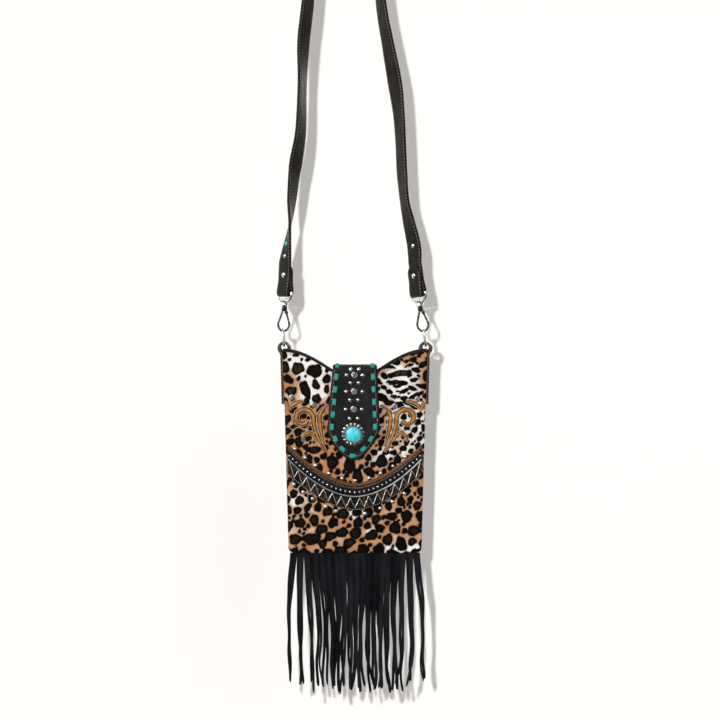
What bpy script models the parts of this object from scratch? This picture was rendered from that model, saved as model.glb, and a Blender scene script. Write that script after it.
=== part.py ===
"""Fringed leopard-print phone bag on a crossbody strap, with a strap-over tab that snaps shut.

The bag hangs from the crown of its strap. Blender units are metres, +Z is up, -Y is the front of the bag
and the origin is where a peg or a shoulder bears on the underside of the strap.
Most pieces are placed in the bag's own frame, whose zero is the middle of the bag's bottom edge.
"""

import math

import bmesh
import bpy
from mathutils import Matrix, Vector

MM = 0.001

# Clearance between pieces that touch, and all round a pin that turns in its hole
GAP = 0.3 * MM
RUNNING_GAP = 0.1 * MM

# Bag body
BAG_HEIGHT = 197 * MM
BOTTOM_HALF = 64.5 * MM
TOP_HALF = 70.0 * MM
CORNER_RADIUS = 5 * MM
BAG_DEPTH = 18 * MM
LEATHER = 1.6 * MM
FRONT_BULGE = 2.2 * MM
SHOULDER_DROP = 20 * MM
MOUTH_HALF = 22 * MM
MOUTH_SAG = 6 * MM
LINING = 0.6 * MM
LINING_MARGIN = 4.8 * MM
LINING_DROP = 31.5 * MM
BINDING_HEIGHT = 2.0 * MM
BINDING_WALL = 0.9 * MM

# Strap
CROWN_HEIGHT = 848 * MM
CROWN_RADIUS = 23 * MM
STRAP_WIDTH = 17.5 * MM
STRAP_THICK = 2.6 * MM
STRAP_STEP = 25 * MM
TONGUE_LENGTH = 27 * MM
FOLD_RIVET_HEIGHT = 17 * MM
FOLD_RIVET_CAP = 2.6 * MM
RUN_RIVET_CAP = 2.0 * MM
RIVET_SHANK = 1.0 * MM

# Route of each run of the strap in the bag's frame, upwards from the fold:
# how far it bows from a straight line, share of the run's height, and the turn of the strap's width
# away from the bag's plane in degrees.
# The rivets on the long runs sit at the first places.
LEFT_ROUTE = (
    (0.2 * MM, 0.010, 55),
    (0.8 * MM, 0.033, 69),
    (1.7 * MM, 0.070, 90),
    (1.5 * MM, 0.110, 112),
    (1.8 * MM, 0.154, 122),
    (2.6 * MM, 0.181, 130),
    (4.8 * MM, 0.235, 120),
    (2.5 * MM, 0.324, 113),
    (0.5 * MM, 0.396, 127),
    (1.6 * MM, 0.467, 127),
    (2.2 * MM, 0.603, 118),
    (2.9 * MM, 0.769, 104),
    (1.9 * MM, 0.917, 92),
)
RIGHT_ROUTE = (
    (0.1 * MM, 0.030, 46),
    (-3.6 * MM, 0.075, 56),
    (-6.3 * MM, 0.111, 66),
    (-7.1 * MM, 0.164, 61),
    (-6.5 * MM, 0.218, 61),
    (-6.6 * MM, 0.271, 56),
    (-8.6 * MM, 0.325, 44),
    (-13.2 * MM, 0.397, 54),
    (-17.1 * MM, 0.468, 61),
    (-18.4 * MM, 0.604, 68),
    (-13.2 * MM, 0.770, 78),
    (-5.1 * MM, 0.917, 88),
)

# Swivel clip, measured up its axis from the middle of the hook's lowest wire
EYE_TURN = 50
HOOK_WIRE = 1.05 * MM
HOOK_HALF = 5.45 * MM
HOOK_BELLY = 7.4 * MM
BARREL_RADIUS = 2.7 * MM
BARREL_BOTTOM = 19.2 * MM
BARREL_TOP = 24.6 * MM
POST_RADIUS = 1.2 * MM
HEAD_RADIUS = 2.3 * MM
HEAD_HEIGHT = 1.1 * MM
EYE_BOSS_RADIUS = 3.6 * MM
EYE_BOSS_HEIGHT = 3.2 * MM
EYE_WIRE = 1.25 * MM
EYE_HEIGHT = 37.6 * MM
WEB_THICK = 1.5 * MM
GATE_WIRE = 0.95 * MM
GATE_PIVOT_X = 2.1 * MM
GATE_PIVOT_Z = 18.3 * MM
GATE_EYE_RADIUS = 1.55 * MM
GATE_EYE_HALF = 1.0 * MM
PIN_RADIUS = 0.5 * MM
LUG_WALL = 0.9 * MM
NOSE_LENGTH = 2.6 * MM

# Ring and the leather tab that holds it, one of each at either side of the bag
RING_WIRE = 1.1 * MM
RING_HALF = 7.4 * MM
RING_DROP = 14.5 * MM
TAB_WIDTH = 11.6 * MM
TAB_THICK = 2.0 * MM
TAB_LOOP_RADIUS = 4.8 * MM
TAB_OUTER_LENGTH = 46 * MM
TAB_INNER_LENGTH = 18 * MM

# Each side: its name, which way it lies, the lean of its ring and of its clip in degrees
SIDES = (("left", -1, -3.8, 2.4), ("right", 1, -7.6, -8.2))
RING_SEAT_RISE = 18.5 * MM

# Curved band on the front. Each edge has its height at the middle, its rise at the side
# and the power of the curve.
BAND_TOP = (64.5 * MM, 37.0 * MM, 1.75)
BAND_MIDDLE = (54.9 * MM, 36.0 * MM, 1.85)
BAND_BOTTOM = (41.5 * MM, 34.5 * MM, 1.75)
BAND_THICK = 1.2 * MM
TAN_PIPING = 0.95 * MM
SILVER_CORD = 0.65 * MM
BAND_BEADS = 25
BAND_BEAD_RADIUS = 1.15 * MM
PANEL_STUD_RADIUS = 1.6 * MM
UPPER_STUDS = 10
LOWER_STUDS = 10
STUD_OFFSET = 6.0 * MM
# Across and down from the bag's top
CRYSTALS = ((-61.0 * MM, 46.0 * MM), (-39.9 * MM, 53.5 * MM), (60.8 * MM, 47.7 * MM), (38.9 * MM, 54.7 * MM))
SCROLL_THICK = 1.3 * MM
VOLUTE_X = 50.0 * MM
VOLUTE_DROP = 66.3 * MM
VOLUTE_OUTER = 9.8 * MM
VOLUTE_INNER = 4.4 * MM
VOLUTE_SWEEP = 335
STEM_X = 28.5 * MM
STEM_DROP = 32.7 * MM
INNER_LEAF_X = 21.5 * MM
INNER_LEAF_RADIUS = 13.0 * MM
INNER_LEAF_TAIL = 120.0 * MM
OUTER_LEAF_RADIUS = 16.2 * MM

# Fringe
STRANDS = 38
STRAND_WIDTH = 3.7 * MM
STRAND_THICK = 1.1 * MM
STRAND_LENGTH = 137 * MM
FRINGE_HALF = 63 * MM
HEADER_HEIGHT = 2.5 * MM
HEADER_THICK = 2.8 * MM
FRINGE_Y = -6.8 * MM
# Sideways swing of the locks of strands, as (place where they are sewn, swing)
DRIFT = (
    (-60, -3.8), (-53, 0.4), (-46, 3.6), (-39, 4.4), (10, 0.0),
    (40, -2.0), (47, -1.2), (53, 1.0), (60, 5.0),
)

# Strap-over tab
FLAP_TOP_HALF = 21.5 * MM
FLAP_WIDE_HALF = 25.5 * MM
FLAP_WIDE_DROP = 75 * MM
FLAP_TIP_DROP = 107 * MM
FLAP_TIP_POWER = 1.55
FLAP_TOP_DROP = 14 * MM
FLAP_FACE = 1.4 * MM
FLAP_LINING = 2.0 * MM
FLAP_STANDOFF = 2.4 * MM
FLAP_BEND = 2.5 * MM
FLAP_ROOT_LENGTH = 68 * MM
LACE_WIDTH = 4.0 * MM
LACE_THICK = 0.7 * MM
LACE_INSET = 4.6 * MM
LACE_STITCH = 6.6 * MM
LACE_STITCHES = 17
SNAP_RADIUS = 7.0 * MM
CONCHO_DROP = 81.6 * MM
CONCHO_RADIUS = 11.3 * MM
CONCHO_PETALS = 16
CABOCHON_RADIUS = 7.4 * MM
CABOCHON_HEIGHT = 4.0 * MM
DOME_RADIUS = 2.0 * MM
DOME_HEIGHT = 1.3 * MM
SETTING_RADIUS = 3.0 * MM
SETTING_HEIGHT = 1.5 * MM
# Drops below the tab's top
PAIR_DROPS = (5.0 * MM, 18.0 * MM, 34.5 * MM, 52.4 * MM)
TRIO_DROPS = (10.6 * MM, 26.5 * MM, 43.5 * MM)
PAIR_HALF = 3.8 * MM
TRIO_HALF = 7.7 * MM

# Derived places that several pieces share
RING_SEAT_HEIGHT = BAG_HEIGHT + RING_SEAT_RISE
VOLUTE_Z = BAG_HEIGHT - VOLUTE_DROP
FLAP_TOP_Z = BAG_HEIGHT - FLAP_TOP_DROP
FLAP_WIDE_Z = BAG_HEIGHT - FLAP_WIDE_DROP
FLAP_TIP_Z = BAG_HEIGHT - FLAP_TIP_DROP
CONCHO_Z = BAG_HEIGHT - CONCHO_DROP
LACE_UNDER = FLAP_LINING - LACE_THICK - GAP
PANEL_Y = BAG_DEPTH / 2 + LEATHER
FLAP_INNER_Y = -(PANEL_Y + FRONT_BULGE + FLAP_STANDOFF)
FLAP_THICK = FLAP_LINING + GAP + FLAP_FACE
FLAP_BACK_Y = PANEL_Y + BINDING_WALL + 2 * GAP
FLAP_FACE_Y = FLAP_INNER_Y - FLAP_THICK
BEND_Z = FLAP_TOP_Z - FLAP_THICK - FLAP_BEND
HINGE_Y = FLAP_BACK_Y - FLAP_BEND - GAP


def clear_scene():
    for obj in list(bpy.data.objects):
        bpy.data.objects.remove(obj, do_unlink=True)


def new_collection(name):
    made = bpy.data.collections.new(name)
    bpy.context.scene.collection.children.link(made)
    return made


def new_material(name, color, roughness, metallic=0.0):
    made = bpy.data.materials.new(name)
    made.use_nodes = True
    shader = made.node_tree.nodes["Principled BSDF"]
    shader.inputs["Base Color"].default_value = (*color, 1.0)
    shader.inputs["Roughness"].default_value = roughness
    shader.inputs["Metallic"].default_value = metallic
    made.diffuse_color = (*color, 1.0)
    return made


clear_scene()
PARTS = new_collection("fringed_bag")
TOOLS = new_collection("cutters")

LEOPARD = new_material("leopard_leather", (0.55, 0.33, 0.16), 0.45)
BLACK = new_material("black_leather", (0.022, 0.020, 0.020), 0.50)
STRAP_BROWN = new_material("strap_leather", (0.060, 0.052, 0.046), 0.55)
SUEDE = new_material("black_suede", (0.018, 0.018, 0.020), 0.85)
TAN = new_material("tan_tooled_leather", (0.42, 0.18, 0.045), 0.40)
TURQUOISE = new_material("turquoise_lace", (0.02, 0.33, 0.27), 0.45)
STONE = new_material("turquoise_stone", (0.03, 0.52, 0.62), 0.15)
SILVER = new_material("silver_metal", (0.70, 0.69, 0.67), 0.22, 1.0)
GUNMETAL = new_material("gunmetal", (0.16, 0.16, 0.16), 0.28, 1.0)
CRYSTAL = new_material("crystal_setting", (0.55, 0.55, 0.56), 0.12, 1.0)
CLOTH = new_material("lining_cloth", (0.07, 0.055, 0.045), 0.90)


def new_empty(name, parent=None, matrix=None):
    made = bpy.data.objects.new(name, None)
    PARTS.objects.link(made)
    made.parent = parent
    if matrix is not None:
        made.matrix_basis = matrix
    return made


def place(obj, material, parent=None, matrix=None):
    """Puts an object in the bag's collection, with its material, parent and place."""
    PARTS.objects.link(obj)
    if material is not None:
        obj.data.materials.append(material)
    obj.parent = parent
    if matrix is not None:
        obj.matrix_basis = matrix
    return obj


def make_tool(obj, parent=None, matrix=None):
    """Puts an object with the cutters, which aren't pieces of the bag."""
    TOOLS.objects.link(obj)
    obj.parent = parent
    if matrix is not None:
        obj.matrix_basis = matrix
    obj.hide_render = True
    obj.display_type = "WIRE"
    return obj


def mesh_object(name, vertices, faces):
    mesh = bpy.data.meshes.new(name)
    mesh.from_pydata([tuple(v) for v in vertices], [], faces)
    mesh.update()
    shape = bmesh.new()
    shape.from_mesh(mesh)
    bmesh.ops.recalc_face_normals(shape, faces=shape.faces)
    shape.to_mesh(mesh)
    shape.free()
    return bpy.data.objects.new(name, mesh)


def loft_data(rings, closed=False):
    """Vertices and faces of a skin over rings of equal length, capped unless it closes on itself."""
    count = len(rings[0])
    vertices = [point for ring in rings for point in ring]
    faces = []
    steps = len(rings) if closed else len(rings) - 1
    for i in range(steps):
        here, there = i * count, ((i + 1) % len(rings)) * count
        for k in range(count):
            after = (k + 1) % count
            faces.append((here + k, here + after, there + after, there + k))
    if not closed:
        faces.append(tuple(reversed(range(count))))
        faces.append(tuple(range(len(vertices) - count, len(vertices))))
    return vertices, faces


def loft(name, rings):
    return mesh_object(name, *loft_data(rings))


def joined_lofts(name, lofts):
    """One mesh that holds several separate lofts."""
    vertices, faces = [], []
    for rings in lofts:
        start = len(vertices)
        more_vertices, more_faces = loft_data(rings)
        vertices += more_vertices
        faces += [tuple(start + k for k in face) for face in more_faces]
    return mesh_object(name, vertices, faces)


def sheet_object(name, rows, thickness, front=True):
    """A sheet through rows of points, given its thickness on the side away from the viewer."""
    columns = len(rows[0])
    vertices = [point for row in rows for point in row]
    faces = []
    for i in range(len(rows) - 1):
        for k in range(columns - 1):
            a = i * columns + k
            faces.append((a, a + 1, a + columns + 1, a + columns))
    mesh = bpy.data.meshes.new(name)
    mesh.from_pydata([tuple(v) for v in vertices], [], faces)
    mesh.update()
    lean = sum(polygon.normal.y for polygon in mesh.polygons)
    if (lean > 0) == front:
        mesh.flip_normals()
    made = bpy.data.objects.new(name, mesh)
    shell = made.modifiers.new("thickness", "SOLIDIFY")
    shell.thickness = thickness
    shell.offset = -1
    return made


def tube_curve(name, points, radius, resolution=2, cyclic=False):
    curve = bpy.data.curves.new(name, "CURVE")
    curve.dimensions = "3D"
    curve.bevel_depth = radius
    curve.bevel_resolution = resolution
    curve.use_fill_caps = True
    spline = curve.splines.new("POLY")
    spline.points.add(len(points) - 1)
    for target, point in zip(spline.points, points):
        target.co = (*point, 1.0)
    spline.use_cyclic_u = cyclic
    return bpy.data.objects.new(name, curve)


def meshed(curve_object):
    """The curve object as a mesh object whose caps are welded to its sides."""
    bpy.context.scene.collection.objects.link(curve_object)
    graph = bpy.context.evaluated_depsgraph_get()
    mesh = bpy.data.meshes.new_from_object(curve_object.evaluated_get(graph))
    name = curve_object.name
    bpy.data.objects.remove(curve_object, do_unlink=True)
    shape = bmesh.new()
    shape.from_mesh(mesh)
    bmesh.ops.remove_doubles(shape, verts=shape.verts, dist=GAP / 30)
    bmesh.ops.recalc_face_normals(shape, faces=shape.faces)
    shape.to_mesh(mesh)
    shape.free()
    mesh.name = name
    return bpy.data.objects.new(name, mesh)


def round_bar(name, radius, start, end, sides=16):
    """A cylinder between two points."""
    start, end = Vector(start), Vector(end)
    shape = bmesh.new()
    turn = (end - start).to_track_quat("Z", "Y").to_matrix().to_4x4()
    bmesh.ops.create_cone(
        shape,
        cap_ends=True,
        segments=sides,
        radius1=radius,
        radius2=radius,
        depth=(end - start).length,
        matrix=Matrix.Translation((start + end) / 2) @ turn,
    )
    mesh = bpy.data.meshes.new(name)
    shape.to_mesh(mesh)
    shape.free()
    return bpy.data.objects.new(name, mesh)


def block(name, low, high):
    low, high = Vector(low), Vector(high)
    shape = bmesh.new()
    bmesh.ops.create_cube(shape, size=1.0)
    for vertex in shape.verts:
        vertex.co = Vector((low + high) / 2) + Vector(
            (vertex.co[i] * (high[i] - low[i]) for i in range(3))
        )
    mesh = bpy.data.meshes.new(name)
    shape.to_mesh(mesh)
    shape.free()
    return bpy.data.objects.new(name, mesh)


def turned(name, profile, steps=16):
    """A solid turned about local Z from (radius, height) points that run down its outer side."""
    mesh = bpy.data.meshes.new(name)
    vertices = [(radius, 0.0, height) for radius, height in profile]
    edges = [(i, i + 1) for i in range(len(vertices) - 1)]
    mesh.from_pydata(vertices, edges, [])
    made = bpy.data.objects.new(name, mesh)
    screw = made.modifiers.new("turn", "SCREW")
    screw.steps = steps
    screw.render_steps = steps
    screw.use_merge_vertices = True
    screw.merge_threshold = 0.00001
    return made


def combine(obj, other, operation):
    step = obj.modifiers.new(operation.lower(), "BOOLEAN")
    step.operation = operation
    step.object = other


def smooth_path(points, step):
    """Points about one step apart on a smooth curve through the given points."""
    ends = [points[0] * 2 - points[1]] + list(points) + [points[-1] * 2 - points[-2]]
    path = []
    for a, b, c, d in zip(ends, ends[1:], ends[2:], ends[3:]):
        length = sum((c[i] - b[i]) ** 2 for i in range(3)) ** 0.5
        count = max(1, round(length / step))
        for k in range(count):
            t = k / count
            path.append(
                0.5
                * (
                    2 * b
                    + (c - a) * t
                    + (2 * a - 5 * b + 4 * c - d) * t * t
                    + (3 * b - a - 3 * c + d) * t**3
                )
            )
    path.append(points[-1])
    return path


# Shape of the bag


def half_width(z):
    """Half the bag's width at a height, rounded in at the bottom corners."""
    wide = BOTTOM_HALF + (TOP_HALF - BOTTOM_HALF) * z / BAG_HEIGHT
    if z < CORNER_RADIUS:
        rise = CORNER_RADIUS - max(z, 0.0)
        wide -= CORNER_RADIUS - math.sqrt(CORNER_RADIUS**2 - rise**2)
    return wide


def mouth_height(x):
    """Height of the bag's top edge, which falls in a shoulder towards the dip under the tab."""
    shoulder_foot = BAG_HEIGHT - SHOULDER_DROP
    across = abs(x)
    if across > MOUTH_HALF:
        t = min(1.0, (across - MOUTH_HALF) / (TOP_HALF - MOUTH_HALF))
        return shoulder_foot + SHOULDER_DROP * math.sin(math.pi / 2 * t)
    return shoulder_foot - MOUTH_SAG * (1 - (across / MOUTH_HALF) ** 2)


def front_point(x, z, lift=0.0):
    """A point on the puffed front of the bag, or that far in front of it."""
    across = min(1.0, abs(x) / half_width(z))
    up = min(1.0, max(0.0, z / mouth_height(x)))
    bulge = FRONT_BULGE * (1 - across**4) * math.sin(math.pi * up) ** 0.8
    return Vector((x, -PANEL_Y - bulge - lift, z))


def mouth_places():
    """Places across the mouth that the panels and their bindings share, closer together in the dip."""
    right = [TOP_HALF * share for share in (0.14, 0.26, 0.36, 0.52, 0.70, 0.86, 1.0)]
    return [-x for x in reversed(right)] + [0.0] + right


def side_outline(inset, top):
    """The bag's outline from the top of its left side down, across the bottom and up the right side."""
    corner = CORNER_RADIUS - inset
    right = []
    for k in range(5):
        angle = math.pi / 2 * k / 4
        right.append(
            (
                BOTTOM_HALF - inset - corner + corner * math.sin(angle),
                inset + corner - corner * math.cos(angle),
            )
        )
    right.append((half_width(top) - inset, top))
    return [(-x, z) for x, z in reversed(right)] + right


def build_front_panel(frame):
    corner = CORNER_RADIUS / BAG_HEIGHT
    shares = [corner * (1 - math.cos(math.pi / 6 * k)) for k in range(4)]
    shares += [0.20, 0.40, 0.60, 0.80, 0.93, 1.0]
    rows = []
    for up in shares:
        row = []
        for x_top in mouth_places():
            z = up * mouth_height(x_top)
            row.append(front_point(x_top / TOP_HALF * half_width(z), z))
        rows.append(row)
    panel = place(sheet_object("front_panel", rows, LEATHER), LEOPARD, frame)
    combine(panel, make_tool(panel_studs(), frame), "UNION")


def build_back_panel(frame):
    points = side_outline(0.0, mouth_height(TOP_HALF))
    points += [(x, mouth_height(x)) for x in reversed(mouth_places()[1:-1])]
    rings = []
    for y in (BAG_DEPTH / 2, PANEL_Y):
        rings.append([Vector((x, y, z)) for x, z in points])
    place(loft("back_panel", rings), LEOPARD, frame)


def build_gusset(frame):
    outline = side_outline(GAP, BAG_HEIGHT - TAB_LOOP_RADIUS - TAB_THICK)
    half = BAG_DEPTH / 2 - GAP
    rows = []
    for y in (-half, half):
        rows.append([Vector((x, y, z)) for x, z in outline])
    made = sheet_object("gusset", rows, LEATHER)
    middle = made.data.polygons[len(made.data.polygons) // 2]
    if middle.normal.z > 0:
        made.data.flip_normals()
    place(made, BLACK, frame)


def build_lining(frame):
    half_y = BAG_DEPTH / 2 - GAP
    low = LEATHER + 2 * GAP
    high = BAG_HEIGHT - LINING_DROP
    corner = half_y * 0.6
    levels = [low, low + CORNER_RADIUS, high]
    insets = [CORNER_RADIUS, 0.0, 0.0]
    rows = []
    for z, inset in zip(levels, insets):
        half_x = half_width(max(z, CORNER_RADIUS)) - LINING_MARGIN - inset
        ring = []
        for corner_x, corner_y, start in ((1, 1, 0), (-1, 1, 90), (-1, -1, 180), (1, -1, 270)):
            for k in range(3):
                angle = math.radians(start + 45 * k)
                ring.append(
                    Vector(
                        (
                            corner_x * (half_x - corner) + corner * math.cos(angle),
                            corner_y * (half_y - corner) + corner * math.sin(angle),
                            z,
                        )
                    )
                )
        rows.append(ring)
    vertices, faces = loft_data(rows)
    faces.pop()
    made = mesh_object("lining", vertices, faces)
    if made.data.polygons[-1].normal.z > 0:
        made.data.flip_normals()
    shell = made.modifiers.new("thickness", "SOLIDIFY")
    shell.thickness = LINING
    shell.offset = -1
    place(made, CLOTH, frame)


def build_binding(name, frame, facing):
    """A leather strip folded over the top edge of one panel."""
    inner = LEATHER / 2 + GAP
    outer = inner + BINDING_WALL
    section = (
        (outer, -BINDING_HEIGHT),
        (outer * 0.85, BINDING_WALL + GAP),
        (-outer * 0.85, BINDING_WALL + GAP),
        (-outer, -BINDING_HEIGHT),
        (-inner, -BINDING_HEIGHT),
        (-inner, GAP),
        (inner, GAP),
        (inner, -BINDING_HEIGHT),
    )
    rings = []
    for x in mouth_places():
        top = mouth_height(x)
        if facing < 0:
            middle = front_point(x, top).y + LEATHER / 2
        else:
            middle = PANEL_Y - LEATHER / 2
        rings.append([Vector((x, middle + y, top + z)) for y, z in section])
    place(loft(name, rings), BLACK, frame)


# Trim on the front


def band_height(curve, x):
    middle, rise, power = curve
    return middle + rise * (abs(x) / BOTTOM_HALF) ** power


def band_reach(z_curve):
    """How far out a curve of the band runs before it meets the bag's side."""
    x = BOTTOM_HALF
    for _ in range(8):
        x = half_width(band_height(z_curve, x)) - LEATHER
    return x


def dome_rings(centre, radius, height, sunk, sides=5, levels=((0.95, 0.3), (0.45, 1.0))):
    """Rings of a low dome that stands off the front, with its foot sunk in its carrier."""
    rings = []
    for share, lift in ((1.0, -sunk), *((share, up * height) for share, up in levels)):
        ring = []
        for k in range(sides):
            angle = 2 * math.pi * k / sides
            ring.append(centre + Vector((radius * share * math.cos(angle), -lift, radius * share * math.sin(angle))))
        rings.append(ring)
    return rings


def spread_studs(curve, offset, count):
    """Places along one edge of the band, the same distance outside it."""
    reach = band_reach(curve) - 3 * PANEL_STUD_RADIUS
    found = []
    for k in range(count):
        x = reach * (2 * k / (count - 1) - 1)
        found.append((x, band_height(curve, x) + offset))
    return found


def panel_studs():
    """The nailheads and crystals that are clinched into the front leather."""
    places = spread_studs(BAND_TOP, STUD_OFFSET, UPPER_STUDS)
    places += spread_studs(BAND_BOTTOM, -STUD_OFFSET * 0.75, LOWER_STUDS)
    lofts = []
    for x, z in places:
        height = PANEL_STUD_RADIUS * 0.75
        lofts.append(dome_rings(front_point(x, z), PANEL_STUD_RADIUS, height, LEATHER / 2))
    for x, down in CRYSTALS:
        centre = front_point(x, BAG_HEIGHT - down)
        lofts.append(dome_rings(centre, SETTING_RADIUS, SETTING_HEIGHT, LEATHER / 2, 7))
    return joined_lofts("panel_stud_shapes", lofts)


def build_band(frame):
    steps = 9
    lift = GAP + BAND_THICK
    rows = []
    for curve in (BAND_TOP, BAND_MIDDLE, BAND_BOTTOM):
        reach = band_reach(curve)
        row = []
        for k in range(-steps, steps + 1):
            x = reach * k / steps
            row.append(front_point(x, band_height(curve, x), lift))
        rows.append(row)
    band = place(sheet_object("curved_band", rows, BAND_THICK), BLACK, frame)
    beads = []
    for k in range(BAND_BEADS):
        x = (band_reach(BAND_TOP) - 3 * MM) * (2 * k / (BAND_BEADS - 1) - 1)
        z = (band_height(BAND_TOP, x) * 0.45 + band_height(BAND_MIDDLE, x) * 0.55)
        centre = front_point(x, z, lift)
        height = BAND_BEAD_RADIUS * 0.8
        beads.append(dome_rings(centre, BAND_BEAD_RADIUS, height, BAND_THICK / 2, 5, ((0.6, 1.0),)))
    combine(band, make_tool(joined_lofts("band_bead_shapes", beads), frame), "UNION")


def build_piping(name, curve, radius, lift, shift, resolution, material, frame):
    reach = band_reach(curve) - radius
    steps = 9
    points = []
    for k in range(-steps, steps + 1):
        x = reach * k / steps
        points.append(front_point(x, band_height(curve, x) + shift, lift + radius))
    place(tube_curve(name, points, radius, resolution), material, frame)


def scroll(name, frame, side, centreline, widths):
    """A flat tooled scroll that lies on the front and swells between its ends."""
    left, right = [], []
    last = len(centreline) - 1
    for i, (x, z) in enumerate(centreline):
        before = Vector(centreline[max(i - 1, 0)])
        after = Vector(centreline[min(i + 1, last)])
        along = (after - before).normalized()
        t = i / last
        half = 0.5 * (widths[0] + (widths[1] - widths[0]) * math.sin(math.pi * t))
        for edge, sign in ((left, 1), (right, -1)):
            px = side * (x - sign * along.y * half)
            pz = z + sign * along.x * half
            edge.append(front_point(px, pz, GAP + SCROLL_THICK))
    place(sheet_object(name, [left, right], SCROLL_THICK), TAN, frame)


def volute_line():
    """A stem that rises from beside the tab and curls outwards into a spiral."""
    reach = VOLUTE_X - VOLUTE_OUTER - STEM_X
    line = []
    for k in range(6):
        t = k / 6
        line.append((STEM_X + reach * math.sin(math.pi / 2 * t), VOLUTE_Z - STEM_DROP * (1 - t)))
    turns = 15
    for k in range(turns + 1):
        t = k / turns
        angle = math.radians(180 - VOLUTE_SWEEP * t)
        radius = VOLUTE_OUTER + (VOLUTE_INNER - VOLUTE_OUTER) * t
        line.append((VOLUTE_X + radius * math.cos(angle), VOLUTE_Z + radius * math.sin(angle)))
    return line


def arc_line(centre, radius, start, end, count=7):
    line = []
    for k in range(count):
        angle = math.radians(start + (end - start) * k / (count - 1))
        line.append((centre[0] + radius * math.cos(angle), centre[1] + radius * math.sin(angle)))
    return line


def inner_leaf_line():
    """A stem that follows the tab's side and curls in over its top."""
    curl = (INNER_LEAF_X, VOLUTE_Z)
    join = -5
    shift = INNER_LEAF_TAIL - INNER_LEAF_RADIUS
    angle = math.radians(join)
    tail = (curl[0] - shift * math.cos(angle), curl[1] - shift * math.sin(angle))
    return arc_line(tail, INNER_LEAF_TAIL, -17, join, 4) + arc_line(curl, INNER_LEAF_RADIUS, join, 75)[1:]


def build_scrolls(frame):
    for name, side, _, _ in SIDES:
        scroll(f"{name}_volute", frame, side, volute_line(), (1.6 * MM, 4.2 * MM))
        scroll(f"{name}_inner_leaf", frame, side, inner_leaf_line(), (1.0 * MM, 3.4 * MM))
        leaf = arc_line((VOLUTE_X, VOLUTE_Z), OUTER_LEAF_RADIUS, 88, 30)
        scroll(f"{name}_outer_leaf", frame, side, leaf, (1.0 * MM, 3.0 * MM))


# Fringe


def strand_drift(x):
    """How far a lock of strands has swung from where it is sewn: the outer locks hang clear of the rest."""
    for (x_low, low), (x_high, high) in zip(DRIFT, DRIFT[1:]):
        if x <= x_high * MM or x_high == DRIFT[-1][0]:
            return (low + (high - low) * (x / MM - x_low) / (x_high - x_low)) * MM


def strand_sway(lock_x, down):
    """Sideways place of a lock of two strands at a share of its length."""
    ripple = math.sin(6.5 * down + lock_x / (14 * MM)) - math.sin(lock_x / (14 * MM))
    return strand_drift(lock_x) * math.sin(math.pi / 2 * min(1.0, down * 1.6)) + 0.7 * MM * ripple


def build_fringe(frame):
    header = block(
        "fringe",
        (-FRINGE_HALF, FRINGE_Y - HEADER_THICK / 2, -HEADER_HEIGHT),
        (FRINGE_HALF, FRINGE_Y + HEADER_THICK / 2, -GAP),
    )
    lofts = []
    pitch = 2 * FRINGE_HALF / STRANDS
    for i in range(STRANDS):
        segments = 4 if i % 2 else 3
        x = -FRINGE_HALF + pitch * (i + 0.5)
        layer = (-1 if i % 2 else 1) * (STRAND_THICK / 2 + GAP / 2)
        length = STRAND_LENGTH - 6 * MM * abs(math.sin(1.9 * i)) - 9 * MM * abs(x / FRINGE_HALF) ** 4
        lock_x = -FRINGE_HALF + 2 * pitch * (i // 2 + 0.5)
        rings = []
        for k in range(segments + 1):
            down = k / segments
            z = -HEADER_HEIGHT / 2 - (length - HEADER_HEIGHT / 2) * down
            px = x + (lock_x - x) * 0.6 * down + strand_sway(lock_x, down)
            py = FRINGE_Y + layer * (1 + 0.8 * down)
            half = STRAND_WIDTH / 2
            thick = STRAND_THICK / 2
            rings.append(
                [
                    Vector((px - half, py - thick, z)),
                    Vector((px + half, py - thick, z)),
                    Vector((px + half, py + thick, z)),
                    Vector((px - half, py + thick, z)),
                ]
            )
        lofts.append(rings)
    place(header, SUEDE, frame)
    combine(header, make_tool(joined_lofts("strand_shapes", lofts), frame), "UNION")


# Strap-over tab


def flap_half(z):
    """Half width of the tab at a height down its front."""
    if z > FLAP_WIDE_Z:
        t = (FLAP_TOP_Z - z) / (FLAP_TOP_Z - FLAP_WIDE_Z)
        return FLAP_TOP_HALF + (FLAP_WIDE_HALF - FLAP_TOP_HALF) * min(1.0, max(0.0, t))
    u = min(1.0, (FLAP_WIDE_Z - z) / (FLAP_WIDE_Z - FLAP_TIP_Z))
    return FLAP_WIDE_HALF * (1 - u**FLAP_TIP_POWER) ** (1 / FLAP_TIP_POWER)


def wrap(x, run, distance):
    """A point of the tab: run is its height down the front, or how far round the fold above that.

    distance is measured outwards from the tab's inner face.
    """
    if run <= BEND_Z:
        return Vector((x, FLAP_INNER_Y - distance, run))
    angle = (run - BEND_Z) / (FLAP_BEND + FLAP_THICK)
    reach = FLAP_BEND + distance
    return Vector((x, FLAP_INNER_Y + FLAP_BEND - reach * math.cos(angle), BEND_Z + reach * math.sin(angle)))


def wrap_box(corners, inner, outer):
    """Rings through the tab's thickness over a four-cornered patch of it, given as (x, run)."""
    return [[wrap(x, run, distance) for x, run in corners] for distance in (outer, inner)]


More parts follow.
